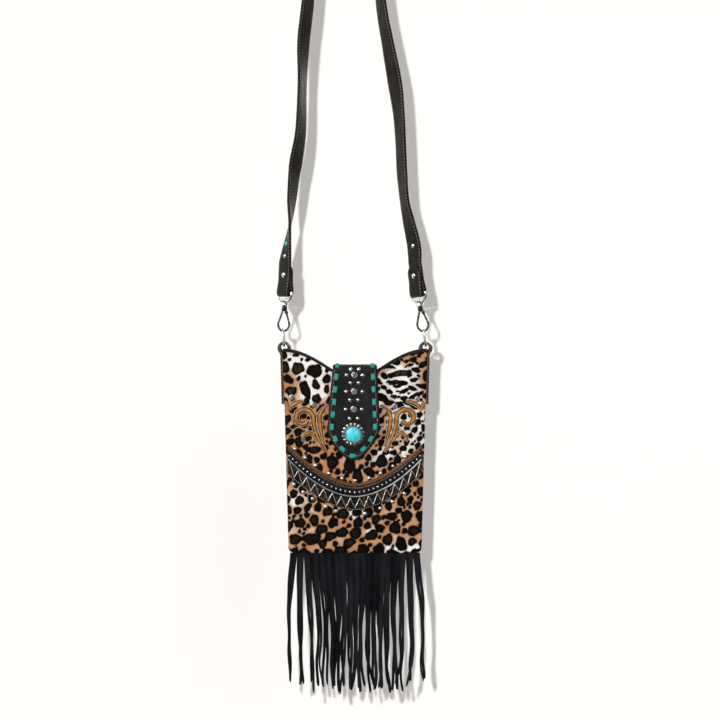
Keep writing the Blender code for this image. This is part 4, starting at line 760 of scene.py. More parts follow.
def make_hide(name, facing, spots, flip, stands_for):
    """One leopard panel with its turned edges; facing -1 is the puffed front."""
    across, rise = COARSE_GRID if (facing > 0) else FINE_GRID
    columns = shares_across(across)
    levels = EDGE_LEVELS + [0.04 + 0.96 * k / rise for k in range(1, rise + 1)]
    outer, inner, xs, zs = [], [], [], []
    for up in levels:
        outer_row, inner_row = [], []
        for share in columns:
            mouth = mouth_height(share * TOP_HALF)
            z = up * mouth
            x = share * half_width(z)
            rim = min((1 - abs(share)) * half_width(z), z, mouth - z + 1.2 * MM)
            dip = 0.75 * MM * max(0.0, 1 - rim / (2.6 * MM)) ** 2
            soft = 0.22 * MM * sin(x * 61 + 1.1) * sin(z * 47 + 0.6) * min(1.0, rim / (12 * MM))
            if facing < 0:
                place = front_point(x, z, soft - dip)
                inner_y = place.y + LEATHER - dip
            else:
                place = Vector((x, PANEL_Y + soft * 0.7 - dip, z))
                inner_y = PANEL_Y - LEATHER
            outer_row.append(place)
            inner_row.append(Vector((x, inner_y, z)))
            xs.append(x / MM)
            zs.append(z / MM)
        outer.append(outer_row)
        inner.append(inner_row)
    looks = zip(*(v.tolist() for v in print_values(np.array(xs), np.array(zs), spots, flip)))
    form = Form()
    face_rows = [
        [form.point(p, spot=spot, core=core, tone=tone) for p, (spot, core, tone) in zip(row, looks)]
        for row in outer
    ]
    bottom, top = ([form.point(p, **BLACK_EDGE) for p in row] for row in (inner[0], inner[-1]))
    left, right = (
        [bottom[j]] + [form.point(row[j], **BLACK_EDGE) for row in inner[1:-1]] + [top[j]] for j in (0, -1)
    )

    def add_face(corners, forward, kind):
        form.face(corners if forward else corners[::-1], kind)

    for low, high in zip(face_rows, face_rows[1:]):
        for j in range(across):
            add_face((low[j], low[j + 1], high[j + 1], high[j]), facing < 0, 0)
    edges = (
        ([row[0] for row in face_rows], left, 1), ([row[-1] for row in face_rows], right, -1),
        (face_rows[0], bottom, -1), (face_rows[-1], top, 1),
    )
    for out, back, turn in edges:
        for k in range(len(out) - 1):
            add_face((out[k], out[k + 1], back[k + 1], back[k]), turn * facing < 0, 1)
    add_face(left + top[1:-1] + right[::-1] + bottom[-2:0:-1], facing < 0, 1)
    form.object(name, (LEOPARD, TRIM_BLACK), "bag", stands_for=stands_for, sharp=50)


def band_height(curve, x):
    """Height of one curve of the band, which has a height in the middle, a rise to the side and a power."""
    middle, rise, power = curve
    return middle + rise * (abs(x) / BOTTOM_HALF) ** power


def band_reach(curve):
    """How far from the middle a curve of the band meets the side of the bag, found in a few rounds."""
    x = BOTTOM_HALF
    for _ in range(8):
        x = half_width(band_height(curve, x)) - LEATHER
    return x


def front_line(curve, lift, shift=0.0, inset=0.0, steps=150):
    """Places along one curve of the band, from side to side."""
    reach = band_reach(curve) - inset
    xs = [reach * k / steps for k in range(-steps, steps + 1)]
    return [front_point(x, band_height(curve, x) + shift, lift) for x in xs]


# Nailheads along the band and crystals in the upper corners, in millimetres
NAILS_ABOVE = (-58, -48, -38, -25, -12.5, 0.5, 14, 25, 37, 49)
NAILS_BELOW = (-59, -50, -41, -28, -18, -3.6, 10, 24.6, 36.5, 48)
CORNER_CRYSTALS = ((-61.0, 151.0), (-39.9, 143.5), (60.8, 149.3), (38.9, 142.3))


def make_panel_studs():
    form = Form()
    for curve, xs, away in ((BAND_TOP, NAILS_ABOVE, 5.6 * MM), (BAND_BOTTOM, NAILS_BELOW, -4.6 * MM)):
        for x in xs:
            place = front_point(x * MM, band_height(curve, x * MM) + away)
            add_turned(form, place, FRONT, dome_profile(2.1 * MM, 1.5 * MM), 18)
    form.object("panel_nailheads", (NICKEL,), "bag")
    form = Form()
    for x, z in CORNER_CRYSTALS:
        add_crystal(form, front_point(x * MM, z * MM), FRONT, 3.0 * MM)
    form.object("panel_crystals", (NICKEL, CRYSTAL), "bag", sharp=20)


def add_crystal(form, place, out, radius):
    """A faceted stone in a rolled metal setting with four prongs."""
    rim = ((1.0, -0.3), (1.0, 0.5), (0.94, 1.0), (0.84, 1.15), (0.78, 0.9), (0.74, 0.4), (0.55, 0.35))
    add_turned(form, place, out, [(radius * share, height * MM) for share, height in rim], 24)
    turn = out.to_track_quat("Z", "Y").to_matrix()

    def around(share, angle, height):
        return place + turn @ Vector((radius * share * cos(angle), radius * share * sin(angle), height * MM))

    facets = 8
    rings = []
    for share, height, shift in ((0.56, 0.3, 0.0), (0.60, 1.1, 0.5), (0.36, 1.75, 0.0)):
        rings.append([around(share, TAU * (k + shift) / facets, height) for k in range(facets)])
    form.rings(rings, 1)
    for k in range(4):
        prong = around(0.80, pi / 4 + QUARTER * k, 0.7)
        add_turned(form, prong, out, dome_profile(0.42 * MM, 0.6 * MM, 0.2 * MM, 3), 8)


# Front trim


# Shares across the band from its top edge to its bottom edge
BAND_SHARES = (0.0, 0.02, 0.07, 0.16, 0.30, 0.44, 0.56, 0.70, 0.84, 0.93, 0.98, 1.0)


def make_band():
    """The tooled band, its beads, its cords and stitches, and the piping above it."""
    form = Form()
    steps = 150
    lift = GAP + BAND_THICK
    rings = []
    for k in range(-steps, steps + 1):
        top_row, low_row = [], []
        for share in BAND_SHARES:
            reach = band_reach(BAND_TOP) * (1 - share) + band_reach(BAND_BOTTOM) * share
            x = reach * k / steps
            z = band_height(BAND_TOP, x) * (1 - share) + band_height(BAND_BOTTOM, x) * share
            drop = 0.8 * MM * max(0.0, 1 - min(share, 1 - share) / 0.07) ** 2
            swell = 0.35 * MM * sin(pi * min(1.0, share / 0.42)) if share < 0.42 else 0.0
            top_row.append(front_point(x, z, lift - drop + swell))
            low_row.append(front_point(x, z, 0.1 * MM))
        rings.append(top_row + low_row[::-1])
    zone = [min(1.0, max(0.0, (s - 0.44) / 0.06) * max(0.0, (0.95 - s) / 0.06)) for s in BAND_SHARES]
    zone += [0.0] * len(BAND_SHARES)
    form.rings(rings, values=lambda i, j: {"zone": zone[j]})
    form.object("tooled_band", (BAND_LEATHER,), "bag", WORLD, ("curved_band",), 60)

    form = Form()
    line = []
    for k in range(-200, 201):
        x = (band_reach(BAND_TOP) - 2.5 * MM) * k / 200
        z = band_height(BAND_TOP, x) * 0.42 + band_height(BAND_MIDDLE, x) * 0.58
        line.append(front_point(x, z, lift))
    for place in resample(line, 4.7 * MM):
        add_turned(form, place, FRONT, dome_profile(1.4 * MM, 1.2 * MM, 0.2 * MM), 14)
    form.object("band_beads", (BEAD_METAL,), "bag")

    form = Form()
    zig = []
    width = band_reach(BAND_BOTTOM) - 2.0 * MM
    turns = 15
    for k in range(-turns, turns + 1):
        x = width * k / turns * (1.06 - 0.06 * abs(k / turns))
        z = band_height(BAND_MIDDLE, x) - 1.6 * MM if k % 2 else band_height(BAND_BOTTOM, x) + 1.9 * MM
        zig.append((min(width, max(-width, x)), z))
    for (ax, az), (bx, bz) in zip(zig, zig[1:]):
        shares = [k / 12 for k in range(13)]
        points = [front_point(between(ax, bx, t), between(az, bz, t), lift + 0.32 * MM) for t in shares]
        add_tube(form, points, 0.42 * MM, 8, twist=(2, 420))
    line = front_line(BAND_MIDDLE, lift + SILVER_CORD * 0.9, 0.0, 0.8 * MM, 420)
    add_tube(form, line, SILVER_CORD * 1.12, 10, twist=(2, 300))
    form.object("silver_cording", (SILVER_CORDING,), "bag", WORLD, ("silver_cord",))

    form = Form()
    for curve, shift, long, thick in ((BAND_BOTTOM, 0.9, 1.5, 0.22), (BAND_TOP, -1.3, 1.4, 0.2)):
        line = front_line(curve, lift, shift * MM, 0.8 * MM)
        add_stitches(form, line, FRONT, long * MM, 2.3 * MM, thick * MM)
    form.object("band_stitches", (SILVER_THREAD,), "bag")

    form = Form()
    for shift, radius in ((TAN_PIPING + GAP, 1.0), (TAN_PIPING * 2.7 + GAP, 0.55)):
        line = front_line(BAND_TOP, GAP + TAN_PIPING * radius, shift, TAN_PIPING, 420)
        add_tube(form, line, TAN_PIPING * 1.12 * radius, 12, twist=(2, 260))
    form.object("rolled_piping", (BROWN_CORDING,), "bag", WORLD, ("tan_piping",))


VOLUTE_CENTRE = (50.0 * MM, 130.7 * MM)


def volute_line():
    """The line of the large scroll: up from the band, then round its curl."""
    centre_x, centre_z = VOLUTE_CENTRE
    foot_x, foot_z = 28.5 * MM, 98 * MM
    start, end, sweep = 9.8 * MM, 4.4 * MM, 335
    line = []
    for k in range(24):
        t = k / 24
        line.append((foot_x + (centre_x - start - foot_x) * sin(QUARTER * t), foot_z + 32.7 * MM * t))
    for k in range(61):
        t = k / 60
        angle = radians(180 - sweep * t)
        radius = between(start, end, t)
        line.append((centre_x + radius * cos(angle), centre_z + radius * sin(angle)))
    return line


def arc_line(centre_x, centre_z, radius, start, end, count=28):
    line = []
    for k in range(count):
        angle = radians(start + (end - start) * k / (count - 1))
        line.append(((centre_x + radius * cos(angle)) * MM, (centre_z + radius * sin(angle)) * MM))
    return line


def inner_leaf_line():
    angle = radians(-5)
    tail_x, tail_z = 21.5 - 107 * cos(angle), 130.7 - 107 * sin(angle)
    return arc_line(tail_x, tail_z, 120.0, -17, -5, 20) + arc_line(21.5, 130.7, 13.0, -5, 75, 22)[1:]


def make_scroll(name, side, centreline, widths, node, bulb=0.0):
    """A tooled scroll with a domed face, dark cut edges and a bulb at its end. Gives the lines beside it."""
    form = Form()
    points = [Vector(p) for p in centreline]
    rings, marks = [], []
    section = (-1.0, -0.96, -0.82, -0.45, 0.0, 0.45, 0.82, 0.96, 1.0)
    beside = ([], [])
    for i, (x, z) in enumerate(centreline):
        along = direction_at(points, i)
        t = i / (len(points) - 1)
        half = 0.5 * (widths[0] + (widths[1] - widths[0]) * sin(pi * t))
        half += bulb * max(0.0, (t - 0.86) / 0.14) ** 0.7 * (1 - max(0.0, (t - 0.97) / 0.03))
        ring = []
        for across in section:
            rise = SCROLL_THICK * (0.55 + 0.55 * (1 - across**2)) if abs(across) < 0.99 else 0.2 * MM
            ring.append((across, GAP + rise))
        ring += [(1.0, 0.0), (-1.0, 0.0)]
        places = [front_point(side * (x - a * along.y * half), z + a * along.x * half, up) for a, up in ring]
        edge = [abs(a) for a, _ in ring]
        rings.append(places if side > 0 else places[::-1])
        marks.append(edge if side > 0 else edge[::-1])
        for line, way in zip(beside, (-1, 1)):
            reach = way * (half + 0.7 * MM)
            line.append(front_point(side * (x + along.y * reach), z - along.x * reach, 0.25 * MM))
    form.rings(rings, values=lambda i, j: {"edge": marks[i][j]})
    form.object(name, (TOOLED,), "bag", WORLD, (node,) if node else (), 70)
    return beside


def make_scrolls():
    threads = Form()
    leaf_tip = arc_line(50.0, 147.0, 16.2, 2, -36, 14)
    for name, side, _, _ in SIDES:
        pieces = (
            ("volute", volute_line(), (1.8 * MM, 4.8 * MM), 1.2 * MM, True),
            ("inner_leaf", inner_leaf_line(), (1.0 * MM, 3.8 * MM), 0.0, True),
            ("outer_leaf", arc_line(50.0, 130.7, 16.6, 92, 30), (0.8 * MM, 4.0 * MM), 0.0, True),
            ("small_curl", arc_line(44.6, 110.8, 5.6, 205, -30), (0.8 * MM, 3.0 * MM), 0.0, False),
            ("leaf_tip", leaf_tip, (1.4 * MM, 3.0 * MM), 0.0, False),
        )
        for kind, line, widths, bulb, in_source in pieces:
            node = f"{name}_{kind}" if in_source else None
            for edge in make_scroll(f"{name}_{kind}_tooled", side, line, widths, node, bulb):
                add_tube(threads, resample(edge, 0.8 * MM), 0.25 * MM, 6, twist=(2, 500))
    threads.object("scroll_cording", (CREAM_CORDING,), "bag")


def make_binding(name, facing, node):
    """The folded strip that binds one top edge, and its row of stitches."""
    form = Form()
    rings, stitch_line = [], []
    steps = 120
    inner = LEATHER / 2 + 0.1 * MM
    outer = inner + BINDING_WALL
    swell = outer + 0.05 * MM
    section = [(outer, -BINDING_HEIGHT), (swell, -BINDING_HEIGHT * 0.5)]
    section += [(outer * c, BINDING_WALL * 0.2 + (BINDING_WALL + GAP) * s) for c, s in arc(8, pi, True)]
    section += [
        (-swell, -BINDING_HEIGHT * 0.5), (-outer, -BINDING_HEIGHT), (-inner, -BINDING_HEIGHT),
        (-inner, -0.2 * MM), (inner, -0.2 * MM), (inner, -BINDING_HEIGHT),
    ]
    for k in range(-steps, steps + 1):
        x = TOP_HALF * k / steps
        top = mouth_height(x)
        middle = front_point(x, top).y + LEATHER / 2 if facing < 0 else PANEL_Y - LEATHER / 2
        rings.append([Vector((x, middle + y, top + z)) for y, z in section])
        stitch_line.append(Vector((x, middle + facing * outer, top - BINDING_HEIGHT * 0.62)))
    form.rings(rings)
    form.object(name, (TRIM_BLACK,), "bag", WORLD, (node,), 50)
    form = Form()
    add_stitches(form, stitch_line, Vector((0.0, float(facing), 0.0)), 1.8 * MM, 2.7 * MM, 0.22 * MM)
    form.object(name + "_stitches", (BLACK_THREAD,), "bag")


# Fringe


# Places across the fringe, and how far the strands there drift sideways on their way down, in millimetres
DRIFT = (
    (-60, -3.8), (-53, 0.4), (-46, 3.6), (-39, 4.4), (10, 0.0), (40, -2.0), (47, -1.2), (53, 1.0), (60, 5.0),
)


def strand_drift(x):
    """The drift at a place across the fringe, between the stations of DRIFT."""
    for (x_low, low), (x_high, high) in zip(DRIFT, DRIFT[1:]):
        if x <= x_high * MM or x_high == DRIFT[-1][0]:
            return (low + (high - low) * (x / MM - x_low) / (x_high - x_low)) * MM


def strand_sway(lock_x, down):
    """Sideways swing of a pair of strands at a share of the way down: its drift and a shallow wave."""
    ripple = sin(6.5 * down + lock_x / (14 * MM)) - sin(lock_x / (14 * MM))
    return strand_drift(lock_x) * sin(QUARTER * min(1.0, down * 1.6)) + 0.7 * MM * ripple


# Sections of a strand and of the header, in shares of their half sizes and of the header's height
STRAND_SECTION = (
    (-1, -0.55), (-0.8, -1), (0, -0.85), (0.8, -1), (1, -0.55),
    (1, 0.55), (0.8, 1), (0, 0.85), (-0.8, 1), (-1, 0.55),
)
HEADER_SECTION = ((-1, -1), (1, -1), (1, -0.05), (0.8, 0), (-0.8, 0), (-1, -0.05))


def make_fringe():
    """Strands of one cut piece, which hang in loose pairs, twist a little and differ in width and length."""
    form = Form()
    pitch = 2 * FRINGE_HALF / STRANDS
    count = 34
    rng = np.random.default_rng(11)
    for i in range(STRANDS):
        x = -FRINGE_HALF + pitch * (i + 0.5)
        lock_x = -FRINGE_HALF + 2 * pitch * (i // 2 + 0.5)
        layer = (-1 if i % 2 else 1) * (STRAND_THICK / 2 + GAP / 2)
        length = STRAND_LENGTH - 6 * MM * abs(sin(1.9 * i)) - 9 * MM * abs(x / FRINGE_HALF) ** 4
        twist = rng.uniform(-1.2, 1.2)
        curl = rng.uniform(0, 6.28)
        stray = rng.normal(0.0, 1.0) * MM
        length += rng.uniform(-3.0, 2.0) * MM
        slim = rng.uniform(0.66, 1.02)
        kick = rng.normal(0.0, 13.0) * MM
        slant = rng.uniform(-0.9, 0.9)
        full = 0.3 if abs(x) < 0.74 * FRINGE_HALF else 0.0
        rings = []
        for k in range(count + 1):
            down = k / count
            z = -HEADER_HEIGHT / 3 - (length - HEADER_HEIGHT / 3) * down
            # A pair closes and sways together, each strand wanders, and its last fifth kicks out
            px = x + (lock_x - x) * 0.6 * down + strand_sway(lock_x, down) + stray * down * down
            px += (0.9 * sin(10 * down + curl) + 0.5 * sin(19 * down + 2.7 * curl)) * MM * down
            px += kick * max(0.0, down - 0.8) ** 1.5 * 2
            py = FRINGE_Y + layer * (1 + 0.8 * down) + 0.4 * MM * sin(9 * down + 1.7 * curl) * down
            lean = twist * down**1.4 + 0.25 * sin(6 * down + curl) * down
            half = STRAND_WIDTH / 2 * (1.0 + 0.06 * sin(23 * down + curl))
            half *= 1 + (slim - 1) * min(1.0, 2 * down)
            half *= 1 + full * max(0.0, 1 - 2.2 * down)
            thick = STRAND_THICK / 2
            tip_slant = 0.0
            if k == count:
                half, thick, tip_slant = half * 0.7, thick * 0.6, slant
            c, s = cos(lean), sin(lean)
            flat = [(a * half, b * thick) for a, b in STRAND_SECTION]
            turned = [(px + a * c - b * s, py + a * s + b * c, z + tip_slant * a) for a, b in flat]
            rings.append([Vector(p) for p in turned])
        form.rings(rings)
    header = [(FRINGE_Y + y * HEADER_THICK / 2, -0.3 * MM + z * HEADER_HEIGHT) for y, z in HEADER_SECTION]
    xs = [-FRINGE_HALF + 2 * FRINGE_HALF * k / 40 for k in range(41)]
    form.rings([[Vector((x, y, z)) for y, z in header] for x in xs])
    form.object("suede_fringe", (SUEDE,), "bag", WORLD, ("fringe",), 60)


# Strap-over tab


def flap_half(z):
    if z > FLAP_WIDE_Z:
        t = (FLAP_TOP_Z - z) / (FLAP_TOP_Z - FLAP_WIDE_Z)
        return between(FLAP_TOP_HALF, FLAP_WIDE_HALF, min(1.0, max(0.0, t)))
    u = min(1.0, (FLAP_WIDE_Z - z) / (FLAP_WIDE_Z - FLAP_TIP_Z))
    return FLAP_WIDE_HALF * (1 - u**FLAP_TIP_POWER) ** (1 / FLAP_TIP_POWER)


def lean(z):
    """Sideways lean of the soft tab, which grows from its fold to its tip."""
    return -FLAP_LEAN * max(0.0, (FLAP_TOP_Z - z) / (FLAP_TOP_Z - FLAP_TIP_Z))


def wrap(x, run, distance):
    """A place on the tab: across, run up its front and on round the fold, distance off its inner face."""
    x += lean(run)
    if run <= BEND_Z:
        return Vector((x, FLAP_INNER_Y - distance, run))
    angle = (run - BEND_Z) / (FLAP_BEND + FLAP_THICK)
    reach = FLAP_BEND + distance
    return Vector((x, FLAP_INNER_Y + FLAP_BEND - reach * cos(angle), BEND_Z + reach * sin(angle)))


def wrap_out(run):
    """Direction off the tab's face at a height down its front."""
    angle = max(0.0, (run - BEND_Z) / (FLAP_BEND + FLAP_THICK))
    return Vector((0.0, -cos(angle), sin(angle)))


def flap_path():
    """Stations of the tab from its tip over the fold to its sewn end. Each has a half width and a function,
    which gives the place at a distance off the tab's inner face."""
    stations = []
    for k in range(41):
        z = FLAP_TIP_Z + (FLAP_WIDE_Z - FLAP_TIP_Z) * (1 - cos(QUARTER * k / 40))
        stations.append((max(flap_half(z), 0.6 * MM), z))
    for k in range(1, 31):
        z = FLAP_WIDE_Z + (BEND_Z - FLAP_WIDE_Z) * k / 30
        stations.append((flap_half(z), z))
    for k in range(1, 13):
        stations.append((FLAP_TOP_HALF, BEND_Z + FOLD_RUN * k / 12))
    places = [(half, (lambda d, run=run: wrap(0.0, run, d))) for half, run in stations]
    fold = BEND_Z + FLAP_BEND
    front_y = FLAP_INNER_Y + FLAP_BEND
    back_y = FLAP_BACK_Y - FLAP_BEND
    for k in range(1, 17):
        y = front_y + (back_y - front_y) * k / 17
        places.append((FLAP_TOP_HALF, (lambda d, y=y: Vector((0.0, y, fold + d)))))

    def round_back(distance, angle):
        reach = FLAP_BEND + distance
        return Vector((0.0, back_y + reach * cos(angle), BEND_Z + reach * sin(angle)))

    for k in range(11):
        places.append((FLAP_TOP_HALF, (lambda d, a=QUARTER * (1 - k / 10): round_back(d, a))))
    panel_face = PANEL_Y + GAP
    low = BEND_Z - FLAP_ROOT_LENGTH
    step_top = mouth_height(0.0) - BINDING_HEIGHT - GAP
    for k in range(1, 4):
        t = k / 3
        y = between(FLAP_BACK_Y, panel_face, eased(t))
        places.append((FLAP_TOP_HALF, (lambda d, y=y, t=t: Vector((0.0, y + d, step_top - 3 * MM * t)))))
    for k in range(1, 25):
        z = step_top - 3 * MM - (step_top - 3 * MM - low) * k / 24
        rise = max(0.0, CORNER_RADIUS - (z - low))
        half = FLAP_TOP_HALF - CORNER_RADIUS + sqrt(max(0.0, CORNER_RADIUS**2 - rise**2))
        places.append((half, (lambda d, z=z: Vector((0.0, panel_face + d, z)))))
    return places


# Distances from the tab's edge in millimetres where its section has a point
EDGE_STEPS = (0.0, 0.15, 0.45, 0.9, 1.6, 2.1, 2.5, 2.9, 3.6)


def make_flap_leather():
    """Face, lining and sewn end as one soft piece with rounded edges and a groove along them."""
    form = Form()
    inner_count = 10
    rings = []
    for half, place in flap_path():
        columns = [(-half + e * MM) for e in EDGE_STEPS if e * MM < half * 0.8]
        while len(columns) < len(EDGE_STEPS):
            columns.append(columns[-1] * 0.85)
        columns += [columns[-1] * (1 - 2 * (k + 1) / (inner_count + 1)) for k in range(inner_count)]
        columns += [-c for c in reversed(columns[: len(EDGE_STEPS)])]
        outer, inner = [], []
        for x in columns:
            e = (half - abs(x)) / MM
            fall = 0.9 * max(0.0, 1 - e / 1.1) ** 2
            groove = 0.22 * exp(-((e - 2.4) / 0.35) ** 2)
            for row, distance in ((outer, FLAP_THICK - (fall + groove) * MM), (inner, fall * 0.6 * MM)):
                p = place(distance)
                row.append(Vector((x + p.x, p.y, p.z)))
        rings.append(outer + inner[::-1])
    form.rings(rings)
    made = form.object("flap_leather", (FLAP_BLACK,), sharp=60)
    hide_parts("flap_face", "flap_lining", "flap_root")
    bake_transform(made)


def flap_track(inset, steps=90):
    """A line round the tab's edge at a distance inside it, as places across and up the tab."""
    edge = [Vector((FLAP_TOP_HALF, BEND_Z + FOLD_RUN))]
    for k in range(steps + 1):
        z = BEND_Z - (BEND_Z - FLAP_TIP_Z) * sin(QUARTER * k / steps)
        edge.append(Vector((flap_half(z), z)))
    right = []
    for i, point in enumerate(edge):
        along = direction_at(edge, i)
        moved = point + Vector((along.y, -along.x)) * inset
        if moved.x > 0:
            right.append(moved)
    lowest = Vector((0.0, FLAP_TIP_Z + inset))
    return [Vector((-p.x, p.y)) for p in right] + [lowest] + right[::-1]


def along_track(track, distance):
    for a, b in zip(track, track[1:]):
        length = (b - a).length
        if distance <= length or b is track[-1]:
            return a + (b - a) * (distance / length), (b - a).normalized()
        distance -= length


# Section of the lace, in shares of its half width and of its thickness
LACE_SECTION = (
    (-1, -0.5), (-1, 0.15), (-0.86, 0.36), (-0.4, 0.5), (0.4, 0.5), (0.86, 0.36), (1, 0.15), (1, -0.5),
)


def make_lace_piece():
    """The stitches of the lace that show, flat strips that come up out of one slit and go into the next."""
    form = Form()
    track = flap_track(LACE_INSET, 60)
    length = sum((b - a).length for a, b in zip(track, track[1:]))
    pitch = (length - LACE_STITCH) / (LACE_STITCHES - 1)
    half_run = LACE_STITCH / 2
    for i in range(LACE_STITCHES):
        middle = LACE_STITCH / 2 + pitch * i
        rings = []
        for k in range(13):
            t = -1 + 2 * k / 12
            level = 0.15 * MM + 0.95 * MM * (1 - abs(t) ** 5)
            if abs(t) > 0.99:
                level = -0.5 * MM
            point, along = along_track(track, middle + half_run * (t if abs(t) < 0.99 else t * 0.985))
            across = Vector((-along.y, along.x))
            spread = LACE_WIDTH / 2 * (1 - 0.10 * abs(t) ** 3)
            ring = []
            for a, h in LACE_SECTION:
                p = point + across * (a * spread)
                ring.append(wrap(p.x, p.y, FLAP_THICK + level + h * LACE_THICK))
            rings.append(ring)
        form.rings(rings)
    form.object("whip_lace", (LACE,), "flap", WORLD, ("turquoise_lace",), 70)


# Heights of the inner pairs of domes, and of the crystals with the outer pairs beside them, in millimetres
INNER_DOMES = (178.0, 165.0, 148.5, 130.6)
CRYSTAL_ROWS = (172.4, 156.5, 139.5)


def make_flap_trim():
    form = Form()
    line = [wrap(p.x, p.y, FLAP_THICK - 0.1 * MM) for p in flap_track(2.35 * MM)]
    for place in resample(line, 1.75 * MM):
        run = place.z if place.z <= BEND_Z else BEND_Z + (place.z - BEND_Z) * 1.25
        add_turned(form, place, wrap_out(run), dome_profile(0.52 * MM, 0.5 * MM, 0.2 * MM, 3), 8)
    form.object("flap_bead_stitch", (SILVER,), "flap")

    form = Form()
    for x, heights in ((3.9, INNER_DOMES), (7.9, CRYSTAL_ROWS)):
        for z in heights:
            for side in (-1, 1):
                place = wrap(side * x * MM, z * MM, FLAP_THICK)
                add_turned(form, place, wrap_out(z * MM), dome_profile(2.05 * MM, 1.6 * MM), 20)
    names = tuple(f"dome_stud_{k}" for k in range(1, 15))
    form.object("flap_domes", (NICKEL,), "flap", WORLD, names)

    form = Form()
    for z in CRYSTAL_ROWS:
        add_crystal(form, wrap(0.0, z * MM, FLAP_THICK), FRONT, 3.35 * MM)
    names = tuple(f"crystal_stud_{k}" for k in range(1, 4))
    form.object("flap_crystals", (NICKEL, CRYSTAL), "flap", WORLD, names, 20)


# Petal stations: share of the concho's radius, half width and height in millimetres
PETAL = (
    (0.70, 0.55, 1.1), (0.76, 1.15, 1.9), (0.84, 1.6, 2.2),
    (0.91, 1.85, 1.9), (0.97, 1.6, 1.3), (1.02, 0.8, 0.5),
)
BEZEL_BEADS = 40


def make_concho_piece():
    """A flower setting with a ring of beads round its stone."""
    centre = Vector((lean(CONCHO_Z), FLAP_FACE_Y, CONCHO_Z))
    form = Form()
    foot = ((0.80, -0.2), (0.84, 0.5), (0.78, 1.3))
    plate = [(CONCHO_RADIUS * share, height * MM) for share, height in foot]
    for wider, height in ((0.9, 2.3), (0.3, 2.9), (-0.2, 2.6), (-0.2, 1.0)):
        plate.append((CABOCHON_RADIUS + wider * MM, height * MM))
    add_turned(form, centre, FRONT, plate, 64)
    for k in range(CONCHO_PETALS):
        angle = TAU * (k + 0.5) / CONCHO_PETALS
        out = Vector((cos(angle), 0.0, sin(angle)))
        across = Vector((-sin(angle), 0.0, cos(angle)))
        rings = []
        for t, half, high in PETAL:
            middle = centre + out * (CONCHO_RADIUS * t)
            ring = []
            for c, s in arc(10):
                rise = (0.35 + max(-0.4, s) * high * 0.65) * MM
                ring.append(middle + across * (c * half * MM) + FRONT * rise)
            rings.append(ring)
        form.rings(rings)
    reach = CABOCHON_RADIUS + 0.62 * MM
    for c, s in arc(BEZEL_BEADS):
        place = centre + Vector((c * reach, 0.0, s * reach)) + FRONT * 2.5 * MM
        add_turned(form, place, FRONT, dome_profile(0.48 * MM, 0.5 * MM, 0.3 * MM, 3), 8)
    form.object("flower_setting", (SILVER,), "flap", WORLD, ("concho",), 50)

    form = Form()
    base, wall = 1.1 * MM, 1.2 * MM
    radius = CABOCHON_RADIUS - 0.1 * MM
    dome = [(radius * c, base + wall + (CABOCHON_HEIGHT - wall) * s) for c, s in arc(16, QUARTER, True)[1:]]
    add_turned(form, centre, FRONT, [(radius, base), (radius, base + wall)] + dome, 48)
    form.object("turquoise_cabochon", (STONE,), "flap", WORLD, ("cabochon",))


# Strap


def ring_seat(side):
    height = RING_SEAT_HEIGHT - RING_DROP
    return Vector((side * (half_width(height) - GAP - LEATHER / 2), 0.0, height))


def hook_seat(side, ring_lean):
    lean = radians(ring_lean)
    return ring_seat(side) + Vector((sin(lean) * RING_DROP, 0.0, cos(lean) * RING_DROP))


def clip_matrix(side, ring_lean, clip_lean):
    """Place of a clip, hung in its leaning ring and leaning itself. The eye is turned on it."""
    return Matrix.Translation(hook_seat(side, ring_lean)) @ Matrix.Rotation(radians(clip_lean), 4, "Y")


def eye_matrix(side, ring_lean, clip_lean):
    return clip_matrix(side, ring_lean, clip_lean) @ Matrix.Rotation(radians(-EYE_TURN), 4, "Z")


def fold_frames(side, ring_lean, clip_lean):
    """The strap's end: its tongue, the fold round the eye and the start of the run, with half widths."""
    matrix = eye_matrix(side, ring_lean, clip_lean)
    turn = EYE_WIRE + GAP + STRAP_THICK / 2
    close = (STRAP_THICK + GAP) / 2
    full = STRAP_WIDTH / 2
    start = FOLD_RIVET_HEIGHT - 3.5 * MM
    tip = arc(9, QUARTER, True)
    line = [(-close, TONGUE_LENGTH - full * (1 - c), full * (0.10 + 0.90 * s)) for c, s in tip]
    for k in range(1, 7):
        line.append((-close - (turn - close) * eased(k / 6), start * (1 - k / 6), full))
    for k in range(1, 12):
        angle = radians(180 + 180 * k / 12)
        line.append((turn * cos(angle), turn * sin(angle), full))
    for k in range(7):
        line.append((between(turn, close, eased(k / 6)), start * (k / 6), full))
    line += [(close, FOLD_RIVET_HEIGHT + 3.5 * MM, full), (close, TONGUE_LENGTH + 3 * MM, full)]
    width = (matrix.to_3x3() @ Vector((1.0, 0.0, 0.0))).normalized()
    return [(matrix @ Vector((0.0, side * y, EYE_HEIGHT + z)), width, half) for y, z, half in line]


def width_direction(turn):
    return Vector((cos(radians(turn)), -sin(radians(turn)), 0.0))


def run_frames(route, first_point, step):
    side = -1 if first_point.x < 0 else 1
    start = Vector((*first_point, EYE_TURN))
    end = Vector((side * (CROWN_RADIUS + STRAP_THICK / 2), 0.0, CROWN_HEIGHT - CROWN_RADIUS, 90))
    knots = [start]
    for bow, share, turn in route:
        straight = start.lerp(end, share)
        knots.append(Vector((straight.x + bow * MM, 0.0, straight.z, turn)))
    path = smooth_path(knots + [end], step)
    return [(Vector(p[:3]), width_direction(p[3]), STRAP_WIDTH / 2) for p in path]


